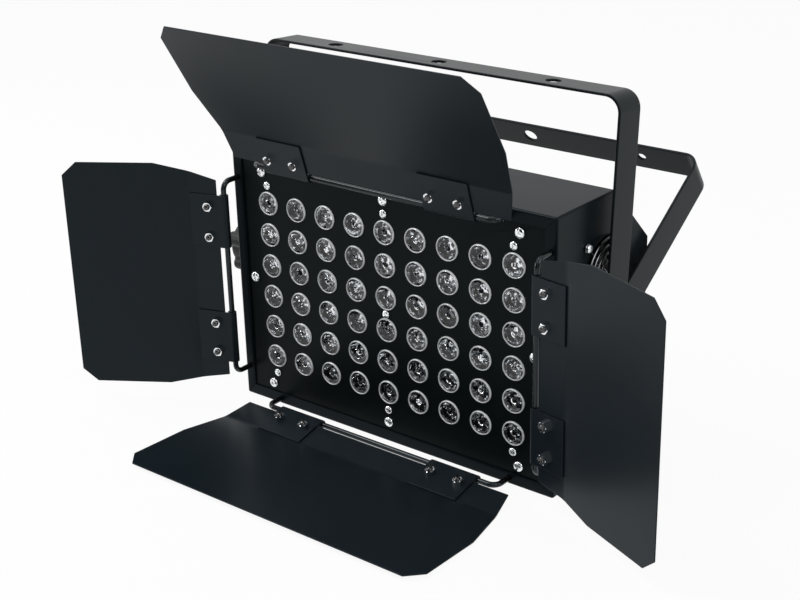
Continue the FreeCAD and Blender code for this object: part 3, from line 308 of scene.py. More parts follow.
def mounted(piece, body, coat, *replaced, slot=None):
    """Gives the piece its finish and its body, and hides the CAD nodes that it stands for."""
    piece.data.materials.clear()
    piece.data.materials.append(COATS[coat])
    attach(piece, body)
    if replaced:
        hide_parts(*replaced)
    print("%-22s faces %6d rides on %s" % (piece.name, len(piece.data.polygons), body))
    return piece


WELD_DISTANCE = 0.002 * MM
FLAT_ANGLE = math.radians(0.5)
SHARP_ANGLE = math.radians(30)


def merged(node):
    """A bmesh of the CAD node with its loose triangles merged into whole flat faces."""
    shape = bmesh.new()
    shape.from_mesh(nodes[node].data)
    bmesh.ops.remove_doubles(shape, verts=shape.verts, dist=WELD_DISTANCE)
    bmesh.ops.dissolve_limit(shape, angle_limit=FLAT_ANGLE, verts=shape.verts, edges=shape.edges)
    bmesh.ops.recalc_face_normals(shape, faces=shape.faces)
    return shape


def rounded_edges(shape, chosen, radius, steps=4):
    """Rounds the edges that satisfy the test, as a bend or a rolled edge does."""
    picked = [edge for edge in shape.edges if len(edge.link_faces) == 2 and chosen(edge)]
    bmesh.ops.bevel(shape, geom=picked, offset=radius, offset_type="OFFSET", segments=steps, profile=0.5,
                    affect="EDGES", clamp_overlap=False)
    return len(picked)


def softened(name, shape, width, steps=2, spared=None):
    """An object from the bmesh whose sharp edges carry a small round, apart from the spared ones."""
    mesh = bpy.data.meshes.new(name)
    weight = shape.edges.layers.float.new("bevel_weight_edge")
    for edge in shape.edges:
        sharp = edge.calc_face_angle(0.0) > SHARP_ANGLE
        edge[weight] = float(sharp and not (spared and spared(edge)))
    for face in shape.faces:
        face.smooth = True
    shape.to_mesh(mesh)
    shape.free()
    piece = shown(name, mesh)
    bevel = piece.modifiers.new("edges", "BEVEL")
    bevel.width = width * MM
    bevel.segments = steps
    bevel.limit_method = "WEIGHT"
    bevel.use_clamp_overlap = False
    bevel.miter_outer = "MITER_ARC"
    even = piece.modifiers.new("even normals", "WEIGHTED_NORMAL")
    even.mode = "FACE_AREA_WITH_ANGLE"
    even.weight = 80
    return plain(piece)


def dressed(name, node, body, coat, width, steps=2):
    """The CAD node as a soft edged piece of this name, mounted on its body."""
    return mounted(softened(name, merged(node), width, steps), body, coat, node)


# %% [markdown]
# ## The casing
#
# The front housing is one folded sheet: two side walls, top and bottom, and a lip round the front. Its
# front edges are bends with a radius of about two millimetres, so they are rounded before the small
# edges. The lip's corners are mitred and leave a fine diagonal seam. The seams are cut as real grooves
# with a Boolean, because light from the side shows their depth.

# %% Front housing with mitred lip
CASING_HALF_X = 174.5
CASING_HALF_Z = 123.5
LIP_WIDTH = 10.8
BEND_RADIUS = 2.2
GROOVE_LENGTH, GROOVE_DEPTH, GROOVE_WIDTH = 16, 0.7, 0.35
NEAR = 0.1 * MM


def on_outside(edge):
    """True for the long outer edges: both ends lie on two outer planes of the casing's front part."""
    planes = ((0, HEAD.x - CASING_HALF_X * MM), (0, HEAD.x + CASING_HALF_X * MM), (1, HEAD.y),
              (2, HEAD.z - CASING_HALF_Z * MM), (2, HEAD.z + CASING_HALF_Z * MM))
    shared = [p for p in planes if all(abs(v.co[p[0]] - p[1]) < NEAR for v in edge.verts)]
    return len(shared) == 2 and edge.calc_length() > BEND_RADIUS * MM


def box_mesh(shape, matrix, size):
    """Adds a box of this size in millimetres, turned and placed by the matrix, to the bmesh."""
    scale = Matrix.Diagonal(Vector(size) * MM).to_4x4()
    bmesh.ops.create_cube(shape, size=1.0, matrix=matrix @ scale)


def carved(piece, cutter, operation="DIFFERENCE"):
    """Cuts the piece with the bmesh, and drops the cutter."""
    mesh = bpy.data.meshes.new("cutter")
    cutter.to_mesh(mesh)
    cutter.free()
    tool = shown("cutter", mesh)
    work = piece.modifiers.new("cut", "BOOLEAN")
    work.operation = operation
    work.solver = "EXACT"
    work.object = tool
    plain(piece)
    bpy.data.objects.remove(tool)
    return piece


def mitre_grooves():
    """Four thin blocks on the diagonals of the lip."""
    shape = bmesh.new()
    middle = LIP_WIDTH / 2
    for i in (-1, 1):
        for j in (-1, 1):
            at = in_head(i * (CASING_HALF_X - middle), 0, j * (CASING_HALF_Z - middle))
            turn = Matrix.Rotation(-math.radians(45) * i * j, 4, "Y")
            box_mesh(shape, Matrix.Translation(at) @ turn, (GROOVE_LENGTH, GROOVE_DEPTH, GROOVE_WIDTH))
    return shape


def in_groove(edge):
    """True for the edges of the mitre grooves, which stay crisp."""
    for vert in edge.verts:
        place = (vert.co - HEAD) / MM
        aside = (CASING_HALF_X - abs(place.x)) - (CASING_HALF_Z - abs(place.z))
        if abs(aside) > 0.5 or place.y > 0.6:
            return False
    return True


housing_shape = merged("front_housing")
print("rounded housing edges", rounded_edges(housing_shape, on_outside, BEND_RADIUS * MM))
blank_mesh = bpy.data.meshes.new("blank casing")
housing_shape.to_mesh(blank_mesh)
grooved = carved(shown("blank casing", blank_mesh), mitre_grooves())
housing_shape.clear()
housing_shape.from_mesh(grooved.data)
bpy.data.objects.remove(grooved)
mounted(softened("casing", housing_shape, 0.3, spared=in_groove), "head", "casing_paint", "front_housing")

# %% [markdown]
# ## Rear cover, panel and fan frames
#
# These are carried over the same way. The cover is a second folded sheet with two slopes. The panel is
# flat, and the rounded rims of its 54 openings draw a thin line round each lens.

# %% Rear cover, front panel and fan frames
dressed("casing_cover", "rear_cover", "head", "casing_paint", 0.4)
dressed("lens_panel", "front_panel", "head", "panel_paint", 0.25)
for side in ("left", "right"):
    dressed("fan_housing_" + side, "fan_frame_" + side, "head", "black_plastic", 0.4)

# %% [markdown]
# ## Surfaces of revolution
#
# Lenses, screws, bolts and buttons are turned shapes: an outline swung round an axis. The outline is a
# list of radius and height pairs, from the middle of the top to the middle of the underside.

# %% A lathe


def lathe(corners, sides=40, closed=False):
    """A bmesh turned about Z from (radius, height) corners in millimetres."""
    shape = bmesh.new()
    rings = []
    for radius, height in corners:
        if radius == 0:
            rings.append([shape.verts.new((0, 0, height * MM))] * sides)
        else:
            turn = [2 * math.pi * i / sides for i in range(sides)]
            rings.append([shape.verts.new((radius * MM * math.cos(a), radius * MM * math.sin(a), height * MM))
                          for a in turn])
    pairs = list(zip(rings, rings[1:])) + ([(rings[-1], rings[0])] if closed else [])
    for upper, lower in pairs:
        for i in range(sides):
            j = (i + 1) % sides
            loop = []
            for vert in (upper[i], lower[i], lower[j], upper[j]):
                if vert not in loop:
                    loop.append(vert)
            if len(loop) > 2:
                shape.faces.new(loop)
    bmesh.ops.recalc_face_normals(shape, faces=shape.faces)
    return shape


def turned(name, corners, sides=40, closed=False, sharp=35):
    """An object turned about Z, smooth except where it bends sharply."""
    mesh = bpy.data.meshes.new(name)
    shape = lathe(corners, sides, closed)
    shape.to_mesh(mesh)
    shape.free()
    mesh.shade_smooth()
    mesh.set_sharp_from_angle(angle=math.radians(sharp))
    return shown(name, mesh)


# %% [markdown]
# ## One tree that sets copies at given places
#
# Screws, nuts, lenses and fan blades repeat, so Geometry Nodes make them. The object that carries the
# modifier is only a cloud of points. Each point has a turn stored on it. The tree puts a copy of the
# master at every point, turned that way, and may roll each copy by a random angle, because nobody sets
# all the screws of a lamp with their crosses in line. It ends by making the copies real and painting them.

# %% The tree of copies


def tree_input(group, name, kind, value=None):
    socket = group.interface.new_socket(name=name, in_out="INPUT", socket_type="NodeSocket" + kind)
    if value is not None:
        socket.default_value = value
    return socket.identifier


def copies_tree():
    group = bpy.data.node_groups.new("Copies at points", "GeometryNodeTree")
    names = {"Points": tree_input(group, "Points", "Geometry"),
             "Master": tree_input(group, "Master", "Object"),
             "Finish": tree_input(group, "Finish", "Material"),
             "Roll": tree_input(group, "Roll", "Float", 0.0),
             "Seed": tree_input(group, "Seed", "Int", 1)}
    group.interface.new_socket(name="Copies", in_out="OUTPUT", socket_type="NodeSocketGeometry")
    tree = Tree(group)
    start = group.nodes.new("NodeGroupInput")
    feed = {name: Wire(tree, start.outputs[name]) for name in names}
    turn = tree.node("GeometryNodeInputNamedAttribute", {"data_type": "FLOAT_VECTOR"}, {"Name": "turn"})
    turn = tree.node("FunctionNodeEulerToRotation", {}, {0: turn})
    spin = tree.node("FunctionNodeRandomValue", {"data_type": "FLOAT"}, {"Seed": feed["Seed"]}, output=1)
    spin = tree.node("ShaderNodeCombineXYZ", {}, {"Z": spin * feed["Roll"]})
    spin = tree.node("FunctionNodeEulerToRotation", {}, {0: spin})
    turn = tree.node("FunctionNodeRotateRotation", {"rotation_space": "LOCAL"}, {0: turn, 1: spin})
    master = tree.node("GeometryNodeObjectInfo", {}, {"Object": feed["Master"]}, output="Geometry")
    made = tree.node("GeometryNodeInstanceOnPoints", {},
                     {"Points": feed["Points"], "Instance": master, "Rotation": turn})
    made = tree.node("GeometryNodeRealizeInstances", {}, {0: made})
    made = tree.node("GeometryNodeSetMaterial", {}, {"Geometry": made, "Material": feed["Finish"]})
    tree.node("NodeGroupOutput", {}, {0: made})
    return group, names


COPIES, COPY_INPUTS = copies_tree()


def copies(name, master, places, coat, roll=0.0):
    """A plain mesh object with the master at every placement matrix."""
    mesh = bpy.data.meshes.new(name)
    mesh.from_pydata([place.to_translation() for place in places], [], [])
    turns = mesh.attributes.new("turn", "FLOAT_VECTOR", "POINT")
    for i, place in enumerate(places):
        turns.data[i].vector = place.to_euler("XYZ")
    piece = shown(name, mesh)
    work = piece.modifiers.new("copies", "NODES")
    work.node_group = COPIES
    for key, value in (("Master", master), ("Finish", COATS[coat]), ("Roll", roll), ("Seed", len(places))):
        work[COPY_INPUTS[key]] = value
    plain(piece)
    bpy.data.objects.remove(master)
    return piece


# %% [markdown]
# ## Fifty-four lenses
#
# Each optic is a clear cone behind a rounded frosted flange. It gathers the light of one emitter. The face
# is slightly dished towards a deep dimple, which reads as the dark dot in the middle. Flange and optic
# are separate pieces, because one is frosted and the other clear.

# %% Lenses in nine columns and six rows
LENS_COLUMNS, LENS_ROWS = 9, 6
LENS_PITCH_X, LENS_PITCH_Z = 33.4, 30.0
LENS_RADIUS = 11.0
RIM_INNER = 9.9
OPTIC_FACE = 9.65
FACE_FORWARD = Matrix.Rotation(math.radians(90), 4, "X")

lens_places = [Matrix.Translation(in_head((i - (LENS_COLUMNS - 1) / 2) * LENS_PITCH_X, 0,
                                          (j - (LENS_ROWS - 1) / 2) * LENS_PITCH_Z)) @ FACE_FORWARD
               for j in range(LENS_ROWS) for i in range(LENS_COLUMNS)]
flange_corners = [(RIM_INNER, -1.2), (RIM_INNER + 0.05, -0.5), (RIM_INNER + 0.2, -0.1), (RIM_INNER + 0.4, 0),
                  (LENS_RADIUS - 0.4, -0.25), (LENS_RADIUS - 0.1, -0.7), (LENS_RADIUS, -1.1),
                  (LENS_RADIUS, -1.6), (RIM_INNER, -1.6)]
dimple_and_face = [(0, -6.0), (1.9, -5.6), (2.3, -2.4), (2.9, -1.9), (5.5, -1.8), (8.0, -1.5),
                   (OPTIC_FACE, -1.0)]
cone_and_foot = [(OPTIC_FACE, -1.6), (10.4, -1.7), (10.2, -3.4), (9.2, -6.6), (7.6, -10.0), (5.4, -13.6),
                 (4.6, -15), (3.1, -15), (3.1, -12), (0, -12)]
flange = turned("flange", flange_corners, sides=48, closed=True)
optic = turned("optic", dimple_and_face + cone_and_foot, sides=36)
mounted(copies("lens_rims", flange, lens_places, "frosted_flange"), "head", "frosted_flange",
        slot="clear_lens")
mounted(copies("lens_optics", optic, lens_places, "clear_lens"), "head", "clear_lens", "lenses")

# %% [markdown]
# ## Screws
#
# A pan head screw is a flat dome with a cross recess. The dome is turned, and the recess is cut with two
# tapered blocks, so that it is deep in the middle as a real one is. The lamp has four sizes of head.

# %% Pan head screws


def tapered_block(shape, span, width, top, bottom):
    """A block that narrows towards its lower end, added to the bmesh."""
    corners = []
    for height, share in ((top, 1.0), (bottom, 0.35)):
        for i, j in ((-1, -1), (1, -1), (1, 1), (-1, 1)):
            corner = Vector((i * span * share / 2, j * width * (0.7 + 0.3 * share) / 2, height)) * MM
            corners.append(shape.verts.new(corner))
    bmesh.ops.convex_hull(shape, input=corners)


def pan_screw(radius, height, shank, length):
    """A screw along Z, seated at z = 0, its head towards +Z."""
    dome = [(radius * math.sin(a), height * math.cos(a) ** 0.5)
            for a in [math.radians(10 * i) for i in range(1, 9)]]
    corners = [(0, height)] + dome + [(radius, 0.12 * height), (radius - 0.1, 0), (shank, 0),
                                      (shank, -length + 0.5), (shank - 0.5, -length), (0, -length)]
    screw = turned("screw", corners, sides=36)
    for turn in (0, 90):
        cutter = bmesh.new()
        tapered_block(cutter, 1.15 * radius, 0.24 * radius, height + 1, height - 1.5)
        bmesh.ops.rotate(cutter, verts=cutter.verts, matrix=Matrix.Rotation(math.radians(turn), 3, "Z"))
        bmesh.ops.recalc_face_normals(cutter, faces=cutter.faces)
        carved(screw, cutter)
    screw.data.set_sharp_from_angle(angle=math.radians(35))
    return screw


def facing(point, direction):
    """A placement at the point whose Z looks along the direction."""
    return Matrix.Translation(point) @ direction.to_track_quat("Z", "Y").to_matrix().to_4x4()


FRONT = Vector((0, -1, 0))
PANEL_FACE = 1.5        # how far the panel lies behind the casing's front
EDGE_X, EDGE_Z, EDGE_MIDDLE_X = 139.5, 104, 154.7
INNER_X, INNER_Z = 133.6, 92
FLANGE_Y, FLANGE_STEP = 132.5, 40
FAN_Y, FAN_Z, FAN_REACH = 73.75, 55.25, 30
GUARD_FACE = CASING_HALF_X + 1.8


def panel_grid(x, z, more):
    """Six screws in three columns and two rows of the panel, and the further ones."""
    spots = [(i * x, j * z) for i in (-1, 0, 1) for j in (-1, 1)] + more
    return [facing(in_head(across, PANEL_FACE, up), FRONT) for across, up in spots]


edge_places = panel_grid(EDGE_X, EDGE_Z, [(-EDGE_MIDDLE_X, 0), (EDGE_MIDDLE_X, 0)])
inner_places = panel_grid(INNER_X, INNER_Z, [(0, 0)])
side_places = [facing(in_head(i * CASING_HALF_X, FLANGE_Y, j * FLANGE_STEP), Vector((i, 0, 0)))
               for i in (-1, 1) for j in (-1, 0, 1)]
guard_places = [facing(in_head(k * GUARD_FACE, FAN_Y + i * FAN_REACH, FAN_Z + j * FAN_REACH), Vector((k, 0, 0)))
                for k in (-1, 1) for i in (-1, 1) for j in (-1, 1)]
for name, size, places, coat, node in (
        ("panel_screw_set", (4.75, 3.0, 2.5, 10), edge_places, "zinc_steel", "panel_screws"),
        ("board_screw_set", (3.75, 2.4, 2.0, 20.1), inner_places, "zinc_steel", "board_screws"),
        ("housing_screw_set", (3.5, 2.2, 1.9, 8), side_places, "black_screw", "housing_screws"),
        ("fan_screw_set", (3.5, 2.2, 1.9, 9), guard_places, "zinc_steel", "fan_screws")):
    mounted(copies(name, pan_screw(*size), places, coat, roll=math.pi / 2), "head", coat, node)

# %% [markdown]
# ## Wire along a path
#
# The door rods are round wire bent to a U, and the fan guards are rings and spokes of thinner wire. Both
# are a path with a circle swept along it. The tree turns the edges of a mesh into curves, rounds their
# corners by the bend radius and sweeps the wire, so one tree serves every wire on the lamp.

# %% The tree of wires


def wire_tree():
    group = bpy.data.node_groups.new("Wire along a path", "GeometryNodeTree")
    names = {"Path": tree_input(group, "Path", "Geometry"),
             "Radius": tree_input(group, "Radius", "Float", 0.001),
             "Bend": tree_input(group, "Bend", "Float", 0.0),
             "Sides": tree_input(group, "Sides", "Int", 16),
             "Finish": tree_input(group, "Finish", "Material")}
    group.interface.new_socket(name="Wire", in_out="OUTPUT", socket_type="NodeSocketGeometry")
    tree = Tree(group)
    start = group.nodes.new("NodeGroupInput")
    feed = {name: Wire(tree, start.outputs[name]) for name in names}
    path = tree.node("GeometryNodeMeshToCurve", {}, {0: feed["Path"]})
    path = tree.node("GeometryNodeFilletCurve", {"mode": "POLY"},
                     {"Curve": path, "Count": 10, "Radius": feed["Bend"], "Limit Radius": True})
    section = tree.node("GeometryNodeCurvePrimitiveCircle", {"mode": "RADIUS"},
                        {"Resolution": feed["Sides"], "Radius": feed["Radius"]})
    made = tree.node("GeometryNodeCurveToMesh", {},
                     {"Curve": path, "Profile Curve": section, "Fill Caps": True})
    made = tree.node("GeometryNodeRealizeInstances", {}, {0: made})
    made = tree.node("GeometryNodeSetMaterial", {}, {"Geometry": made, "Material": feed["Finish"]})
    tree.node("NodeGroupOutput", {}, {0: made})
    return group, names


WIRES, WIRE_INPUTS = wire_tree()


def wired(name, runs, radius, coat, sides, bend=0.0):
    """A plain mesh of wire along runs: each run is its points and whether it closes on itself."""
    points, edges = [], []
    for run, loops in runs:
        first = len(points)
        points += run
        edges += [(first + i, first + i + 1) for i in range(len(run) - 1)]
        if loops:
            edges.append((first + len(run) - 1, first))
    mesh = bpy.data.meshes.new(name)
    mesh.from_pydata(points, edges, [])
    piece = shown(name, mesh)
    work = piece.modifiers.new("wire", "NODES")
    work.node_group = WIRES
    for key, value in (("Radius", radius * MM), ("Bend", bend * MM), ("Sides", sides),
                       ("Finish", COATS[coat])):
        work[WIRE_INPUTS[key]] = value
    plain(piece)
    piece.data.shade_smooth()
    piece.data.set_sharp_from_angle(angle=math.radians(40))
    return piece


def ring(matrix, radius, steps):
    """The points of a circle in the XY plane of the matrix."""
    turns = [2 * math.pi * i / steps for i in range(steps)]
    return [matrix @ Vector((radius * MM * math.cos(a), radius * MM * math.sin(a), 0)) for a in turns]


# %% [markdown]
# ## Finger guards over the side fans
#
# Four plated rings are welded on two crossed wires, which end in an eye round each screw.

# %% Fan guards
GUARD_WIRE = 0.9
GUARD_RINGS, RING_RADIUS, RING_STEP, RING_LEVEL = 4, 31, 6.5, 2.52
EYE_RADIUS = 3.1
for k, side in ((-1, "left"), (1, "right")):
    outwards = Vector((k, 0, 0))
    middle = facing(in_head(k * (CASING_HALF_X + RING_LEVEL), FAN_Y, FAN_Z), outwards)
    runs = [(ring(middle, RING_RADIUS - RING_STEP * i, 72), True) for i in range(GUARD_RINGS)]
    level = k * (CASING_HALF_X + GUARD_WIRE)
    reach = (FAN_REACH * math.sqrt(2) - EYE_RADIUS) / math.sqrt(2)
    for j in (-1, 1):
        runs.append(([in_head(level, FAN_Y - reach, FAN_Z - j * reach),
                      in_head(level, FAN_Y + reach, FAN_Z + j * reach)], False))
        for i in (-1, 1):
            eye = facing(in_head(level, FAN_Y + i * FAN_REACH, FAN_Z + j * FAN_REACH), outwards)
            runs.append((ring(eye, EYE_RADIUS, 24), True))
    mounted(wired("finger_guard_" + side, runs, GUARD_WIRE, "chrome_wire", sides=10), "head", "chrome_wire",
            "fan_guard_" + side)

# %% [markdown]
# ## Fan rotors
#
# A moulded hub carries seven blades. A blade is twisted and a little hollow, steep at the hub and flatter
# at its tip. One blade is built as a closed shell, and the tree of copies sets seven of them round the hub.

# %% Fan rotors
BLADES = 7
BLADE_ROOT, BLADE_SPAN, BLADE_CHORD = 12, 18.8, 15
ROOT_PITCH, PITCH_LOSS = 52, 20
CAMBER, HALF_THICKNESS = 1.6, 0.55


def blade_master():
    """One blade along Z, its chord in the XY plane, twisted and cambered."""
    shape = bmesh.new()
    spans, chords = 9, 9
    skins = []
    for face in (1, -1):
        skin = []
        for i in range(spans):
            share = i / (spans - 1)
            radius = BLADE_ROOT + BLADE_SPAN * share
            pitch = math.radians(ROOT_PITCH - PITCH_LOSS * share)
            row = []
            for j in range(chords):
                along = (j / (chords - 1) - 0.5) * BLADE_CHORD
                fullness = 1 - (2 * j / (chords - 1) - 1) ** 2
                half = HALF_THICKNESS * math.sqrt(max(0.08, fullness))
                across = CAMBER * (fullness - 0.5) + face * half
                x = along * math.cos(pitch) - across * math.sin(pitch)
                y = along * math.sin(pitch) + across * math.cos(pitch)
                drop = math.sqrt(max(radius ** 2 - y ** 2, 1))
                row.append(shape.verts.new((x * MM, y * MM, drop * MM)))
            skin.append(row)
        skins.append(skin)
    front, back = skins
    for i in range(spans - 1):
        for j in range(chords - 1):
            shape.faces.new((front[i][j], front[i][j + 1], front[i + 1][j + 1], front[i + 1][j]))
            shape.faces.new((back[i][j], back[i + 1][j], back[i + 1][j + 1], back[i][j + 1]))
    for i in range(spans - 1):
        shape.faces.new((front[i][0], front[i + 1][0], back[i + 1][0], back[i][0]))
        shape.faces.new((front[i][-1], back[i][-1], back[i + 1][-1], front[i + 1][-1]))
    for j in range(chords - 1):
        shape.faces.new((front[0][j], back[0][j], back[0][j + 1], front[0][j + 1]))
        shape.faces.new((front[-1][j], front[-1][j + 1], back[-1][j + 1], back[-1][j]))
    bmesh.ops.recalc_face_normals(shape, faces=shape.faces)
    mesh = bpy.data.meshes.new("blade")
    shape.to_mesh(mesh)
    shape.free()
    mesh.shade_smooth()
    mesh.set_sharp_from_angle(angle=math.radians(60))
    return shown("blade", mesh)


def moved(piece, matrix):
    """Places the piece in its mesh, so that its object stays at the origin."""
    piece.data.transform(matrix)
    return piece


HUB_MIDDLE, HUB_FRONT, HUB_END = -12.7, -3.7, -21.7
WALL_INSIDE = CASING_HALF_X - 1.5
for k, side in ((-1, "left"), (1, "right")):
    wall = in_head(k * WALL_INSIDE, FAN_Y, FAN_Z)
    facing_out = Matrix.Translation(wall) @ Matrix.Rotation(0 if k > 0 else math.pi, 4, "Z")
    along_axis = facing_out @ Matrix.Rotation(math.radians(90), 4, "Y")
    hub = turned("fan_hub_" + side, [(0, -4.3), (9.5, -4.3), (10, HUB_FRONT), (12.6, HUB_FRONT), (13.6, -4.1),
                                     (14, -5.1), (14, HUB_END), (1.6, HUB_END), (1.6, -9), (0, -9)], sides=56)
    mounted(moved(hub, along_axis), "fan_rotor_" + side, "black_plastic", "fan_rotor_" + side)
    places = [facing_out @ Matrix.Translation((HUB_MIDDLE * MM, 0, 0)) @ Matrix.Rotation(
        2 * math.pi * i / BLADES, 4, "X") for i in range(BLADES)]
    mounted(copies("fan_blades_" + side, blade_master(), places, "black_plastic"), "fan_rotor_" + side,
            "black_plastic")

# %% [markdown]
# ## Barn doors
#
# Each door is a leaf of painted sheet on two straps that are rolled round a bent wire rod. A strap is
# tight enough on its rod to hold the leaf where it is put. The door's own frame has X along the rod,
# Y away from the lenses and Z out of the front, and it is turned by the angle at which the door stands.

# %% Door frames
REACH_X = CASING_HALF_X - 5.5
REACH_Z = CASING_HALF_Z - 6
ROD_OUT = 19        # how far a rod's bar stands in front of the casing
DOORS = {
    "left": dict(out=Vector((-1, 0, 0)), reach=REACH_X, angle=18, rod=94, strap=57),
    "right": dict(out=Vector((1, 0, 0)), reach=REACH_X, angle=8.6, rod=94, strap=57),
    "top": dict(out=Vector((0, 0, 1)), reach=REACH_Z, angle=16.6, rod=130, strap=87),
    "bottom": dict(out=Vector((0, 0, -1)), reach=REACH_Z, angle=77.7, rod=130, strap=87),
}


def rod_frame(door):
    axes = Matrix((door["out"].cross(FRONT), door["out"], FRONT)).transposed().to_4x4()
    return Matrix.Translation(HEAD + (door["out"] * door["reach"] + FRONT * ROD_OUT) * MM) @ axes


def door_frame(door):
    return rod_frame(door) @ Matrix.Rotation(math.radians(door["angle"]), 4, "X")


for name, door in DOORS.items():
    print("door", name, "rod at", tuple(round(c, 4) for c in rod_frame(door).to_translation()))

# %% [markdown]
# ### Rods
#
# Round wire, 5 mm thick, bent to a U and pushed through the lip. The paint on it is smoother than on the
# sheet, so the rods and their bends carry small bright lights.

# %% Door rods
ROD_RADIUS, ROD_BEND, ROD_LEG = 2.5, 8, 27
for name, door in DOORS.items():
    place = rod_frame(door)
    reach, leg = door["rod"] * MM, -ROD_LEG * MM
    path = [place @ Vector(p) for p in ((-reach, 0, leg), (-reach, 0, 0), (reach, 0, 0), (reach, 0, leg))]
    rod = wired("wire_rod_" + name, [(path, False)], ROD_RADIUS, "rod_paint", sides=28, bend=ROD_BEND)
    mounted(rod, "head", "rod_paint", "door_rod_" + name)

# %% [markdown]
# ### Leaves and straps
#
# A leaf has a shallow bend where the strap ends. A bend in sheet metal is never a knife edge, so that
# edge is rounded with a larger radius before the cut edges get their small one.

# %% Door leaves and hinge straps


LEAF_BEND_RADIUS = 2.5
SHORTEST_BEND = 120


def shallow_bend(edge):
    """The long edge where the leaf bends by about 14 degrees."""
    return 8 < math.degrees(edge.calc_face_angle(0.0)) < 25 and edge.calc_length() > SHORTEST_BEND * MM


for name in DOORS:
    leaf = merged("door_leaf_" + name)
    rounded_edges(leaf, shallow_bend, LEAF_BEND_RADIUS * MM, steps=3)
    mounted(softened("leaf_" + name, leaf, 0.4), "door_" + name, "door_paint", "door_leaf_" + name)
    dressed("hinge_straps_" + name, "hinge_plates_" + name, "door_" + name, "door_paint", 0.3)

# %% [markdown]
# ### Nuts and bolts
#
# M5 nuts have flats that are 8 mm apart and chamfered corners, where a turned cone meets the hexagon. So
# a nut is made as it is in the workshop: a hexagon, cut down to a turned outline, then drilled. The bolt
# behind it has a button head with a hexagon socket, and its threaded end shows in the nut.

# %% Nuts and bolts on the doors


NUT_FLATS, NUT_HEIGHT = 8, 4
THREAD_CREST, THREAD_ROOT, THREAD_PITCH = 2.45, 2.15, 0.7
BUTTON_RADIUS, BUTTON_HEIGHT = 4.75, 2.4


def hexagon(flats, low, high):
    """A six sided block about Z as a bmesh."""
    shape = bmesh.new()
    depth = (high - low) * MM
    corner = flats / math.sqrt(3) * MM
    bmesh.ops.create_cone(shape, cap_ends=True, segments=6, radius1=corner, radius2=corner, depth=depth,
                          matrix=Matrix.Translation((0, 0, low * MM + depth / 2)))
    return shape


def nut_master():
    nut = turned("nut", [(0, NUT_HEIGHT), (4.15, NUT_HEIGHT), (4.7, NUT_HEIGHT - 0.3), (4.7, 0.3), (4.15, 0),
                         (0, 0)], sides=60)
    carved(nut, hexagon(NUT_FLATS, -1, NUT_HEIGHT + 1), "INTERSECT")
    bore = lathe([(0, 5), (3.5, 5), (2.6, 3.7), (2.53, 2), (2.6, 0.3), (3.5, -1), (0, -1)], 32)
    carved(nut, bore)
    nut.data.shade_smooth()
    nut.data.set_sharp_from_angle(angle=math.radians(28))
    return nut


def bolt_master():
    tip = [(0, 9.2), (0.8, 9.1), (1.5, 8.85), (2.1, 8.6)]
    thread = []
    for i in range(3):
        top = 8.6 - THREAD_PITCH * i
        thread += [(THREAD_CREST, top), (THREAD_ROOT, top - THREAD_PITCH / 2)]
    slopes = [math.radians(90 - 10 * i) for i in range(9)]
    head = [(BUTTON_RADIUS * math.sin(a), -BUTTON_HEIGHT * math.cos(a) ** 0.6) for a in slopes]
    corners = tip + thread + [(THREAD_CREST, 6.3), (THREAD_CREST, 0)] + head + [(0, -BUTTON_HEIGHT)]
    bolt = turned("bolt", corners, sides=32)
    carved(bolt, hexagon(3.6, -4, -1.2))
    bolt.data.set_sharp_from_angle(angle=math.radians(35))
    return bolt


BOLT_SEAT, NUT_SEAT, BOLT_PLACE, BOLT_SPREAD = 1.35, 4.05, 14, 14.5
for name, door in DOORS.items():
    spots = [(i * door["strap"] + j * BOLT_SPREAD) * MM for i in (-1, 1) for j in (-1, 1)]
    for part, master, seat, coat in (("bolts", bolt_master(), BOLT_SEAT, "bolt_steel"),
                                     ("nuts", nut_master(), NUT_SEAT, "zinc_steel")):
        places = [door_frame(door) @ Matrix.Translation((x, BOLT_PLACE * MM, seat * MM)) for x in spots]
        mounted(copies("set_of_%s_%s" % (part, name), master, places, coat, roll=0.15), "door_" + name, coat,
                "door_%s_%s" % (part, name), slot="black_screw" if part == "bolts" else coat)

# %% [markdown]
# ## Yokes and their pivots
#
# Both yokes are 31 mm flat bar, bent to a U. The upright one carries the lamp from a clamp through the
# holes in its top. The rear one swings on the same axis. A star knob on each side clamps them. The bar is
# thicker than the sheet, so its edges get a wider round.

# %% Yokes, washers, spacers and knobs
dressed("hanging_yoke", "upright_yoke", "upright_yoke", "yoke_paint", 0.8, steps=3)
dressed("floor_yoke", "rear_yoke", "rear_yoke", "yoke_paint", 0.8, steps=3)
dressed("pivot_rings", "pivot_washers", "head", "black_plastic", 0.3)
dressed("pivot_sleeves", "pivot_spacers", "head", "zinc_steel", 0.3)
for side in ("left", "right"):
    dressed("star_knob_" + side, "knob_" + side, "knob_" + side, "black_plastic", 1.2, steps=4)

# %% [markdown]
# ## The back
#
# Power comes in through a blue locking socket and leaves through a grey one. Data sockets are black.
# Inside each mouth there is a core with contacts, which a plain hole would lack.

# %% Sockets
SOCKETS = {"power_inlet": (-147, 22, "blue_socket"), "power_outlet": (-108, 22, "grey_socket"),
           "data_inlet": (108, -24, "black_socket"), "data_outlet": (147, -24, "black_socket")}
BACK = 141
SOCKET_FACE = BACK + 2
TO_BACK = Vector((0, 1, 0))
SCREW_X, SCREW_Z = 10.2, 12.7
SLOT_RADIUS, PIN_RADIUS, PIN_SEAT = 3.4, 3.8, -10.5


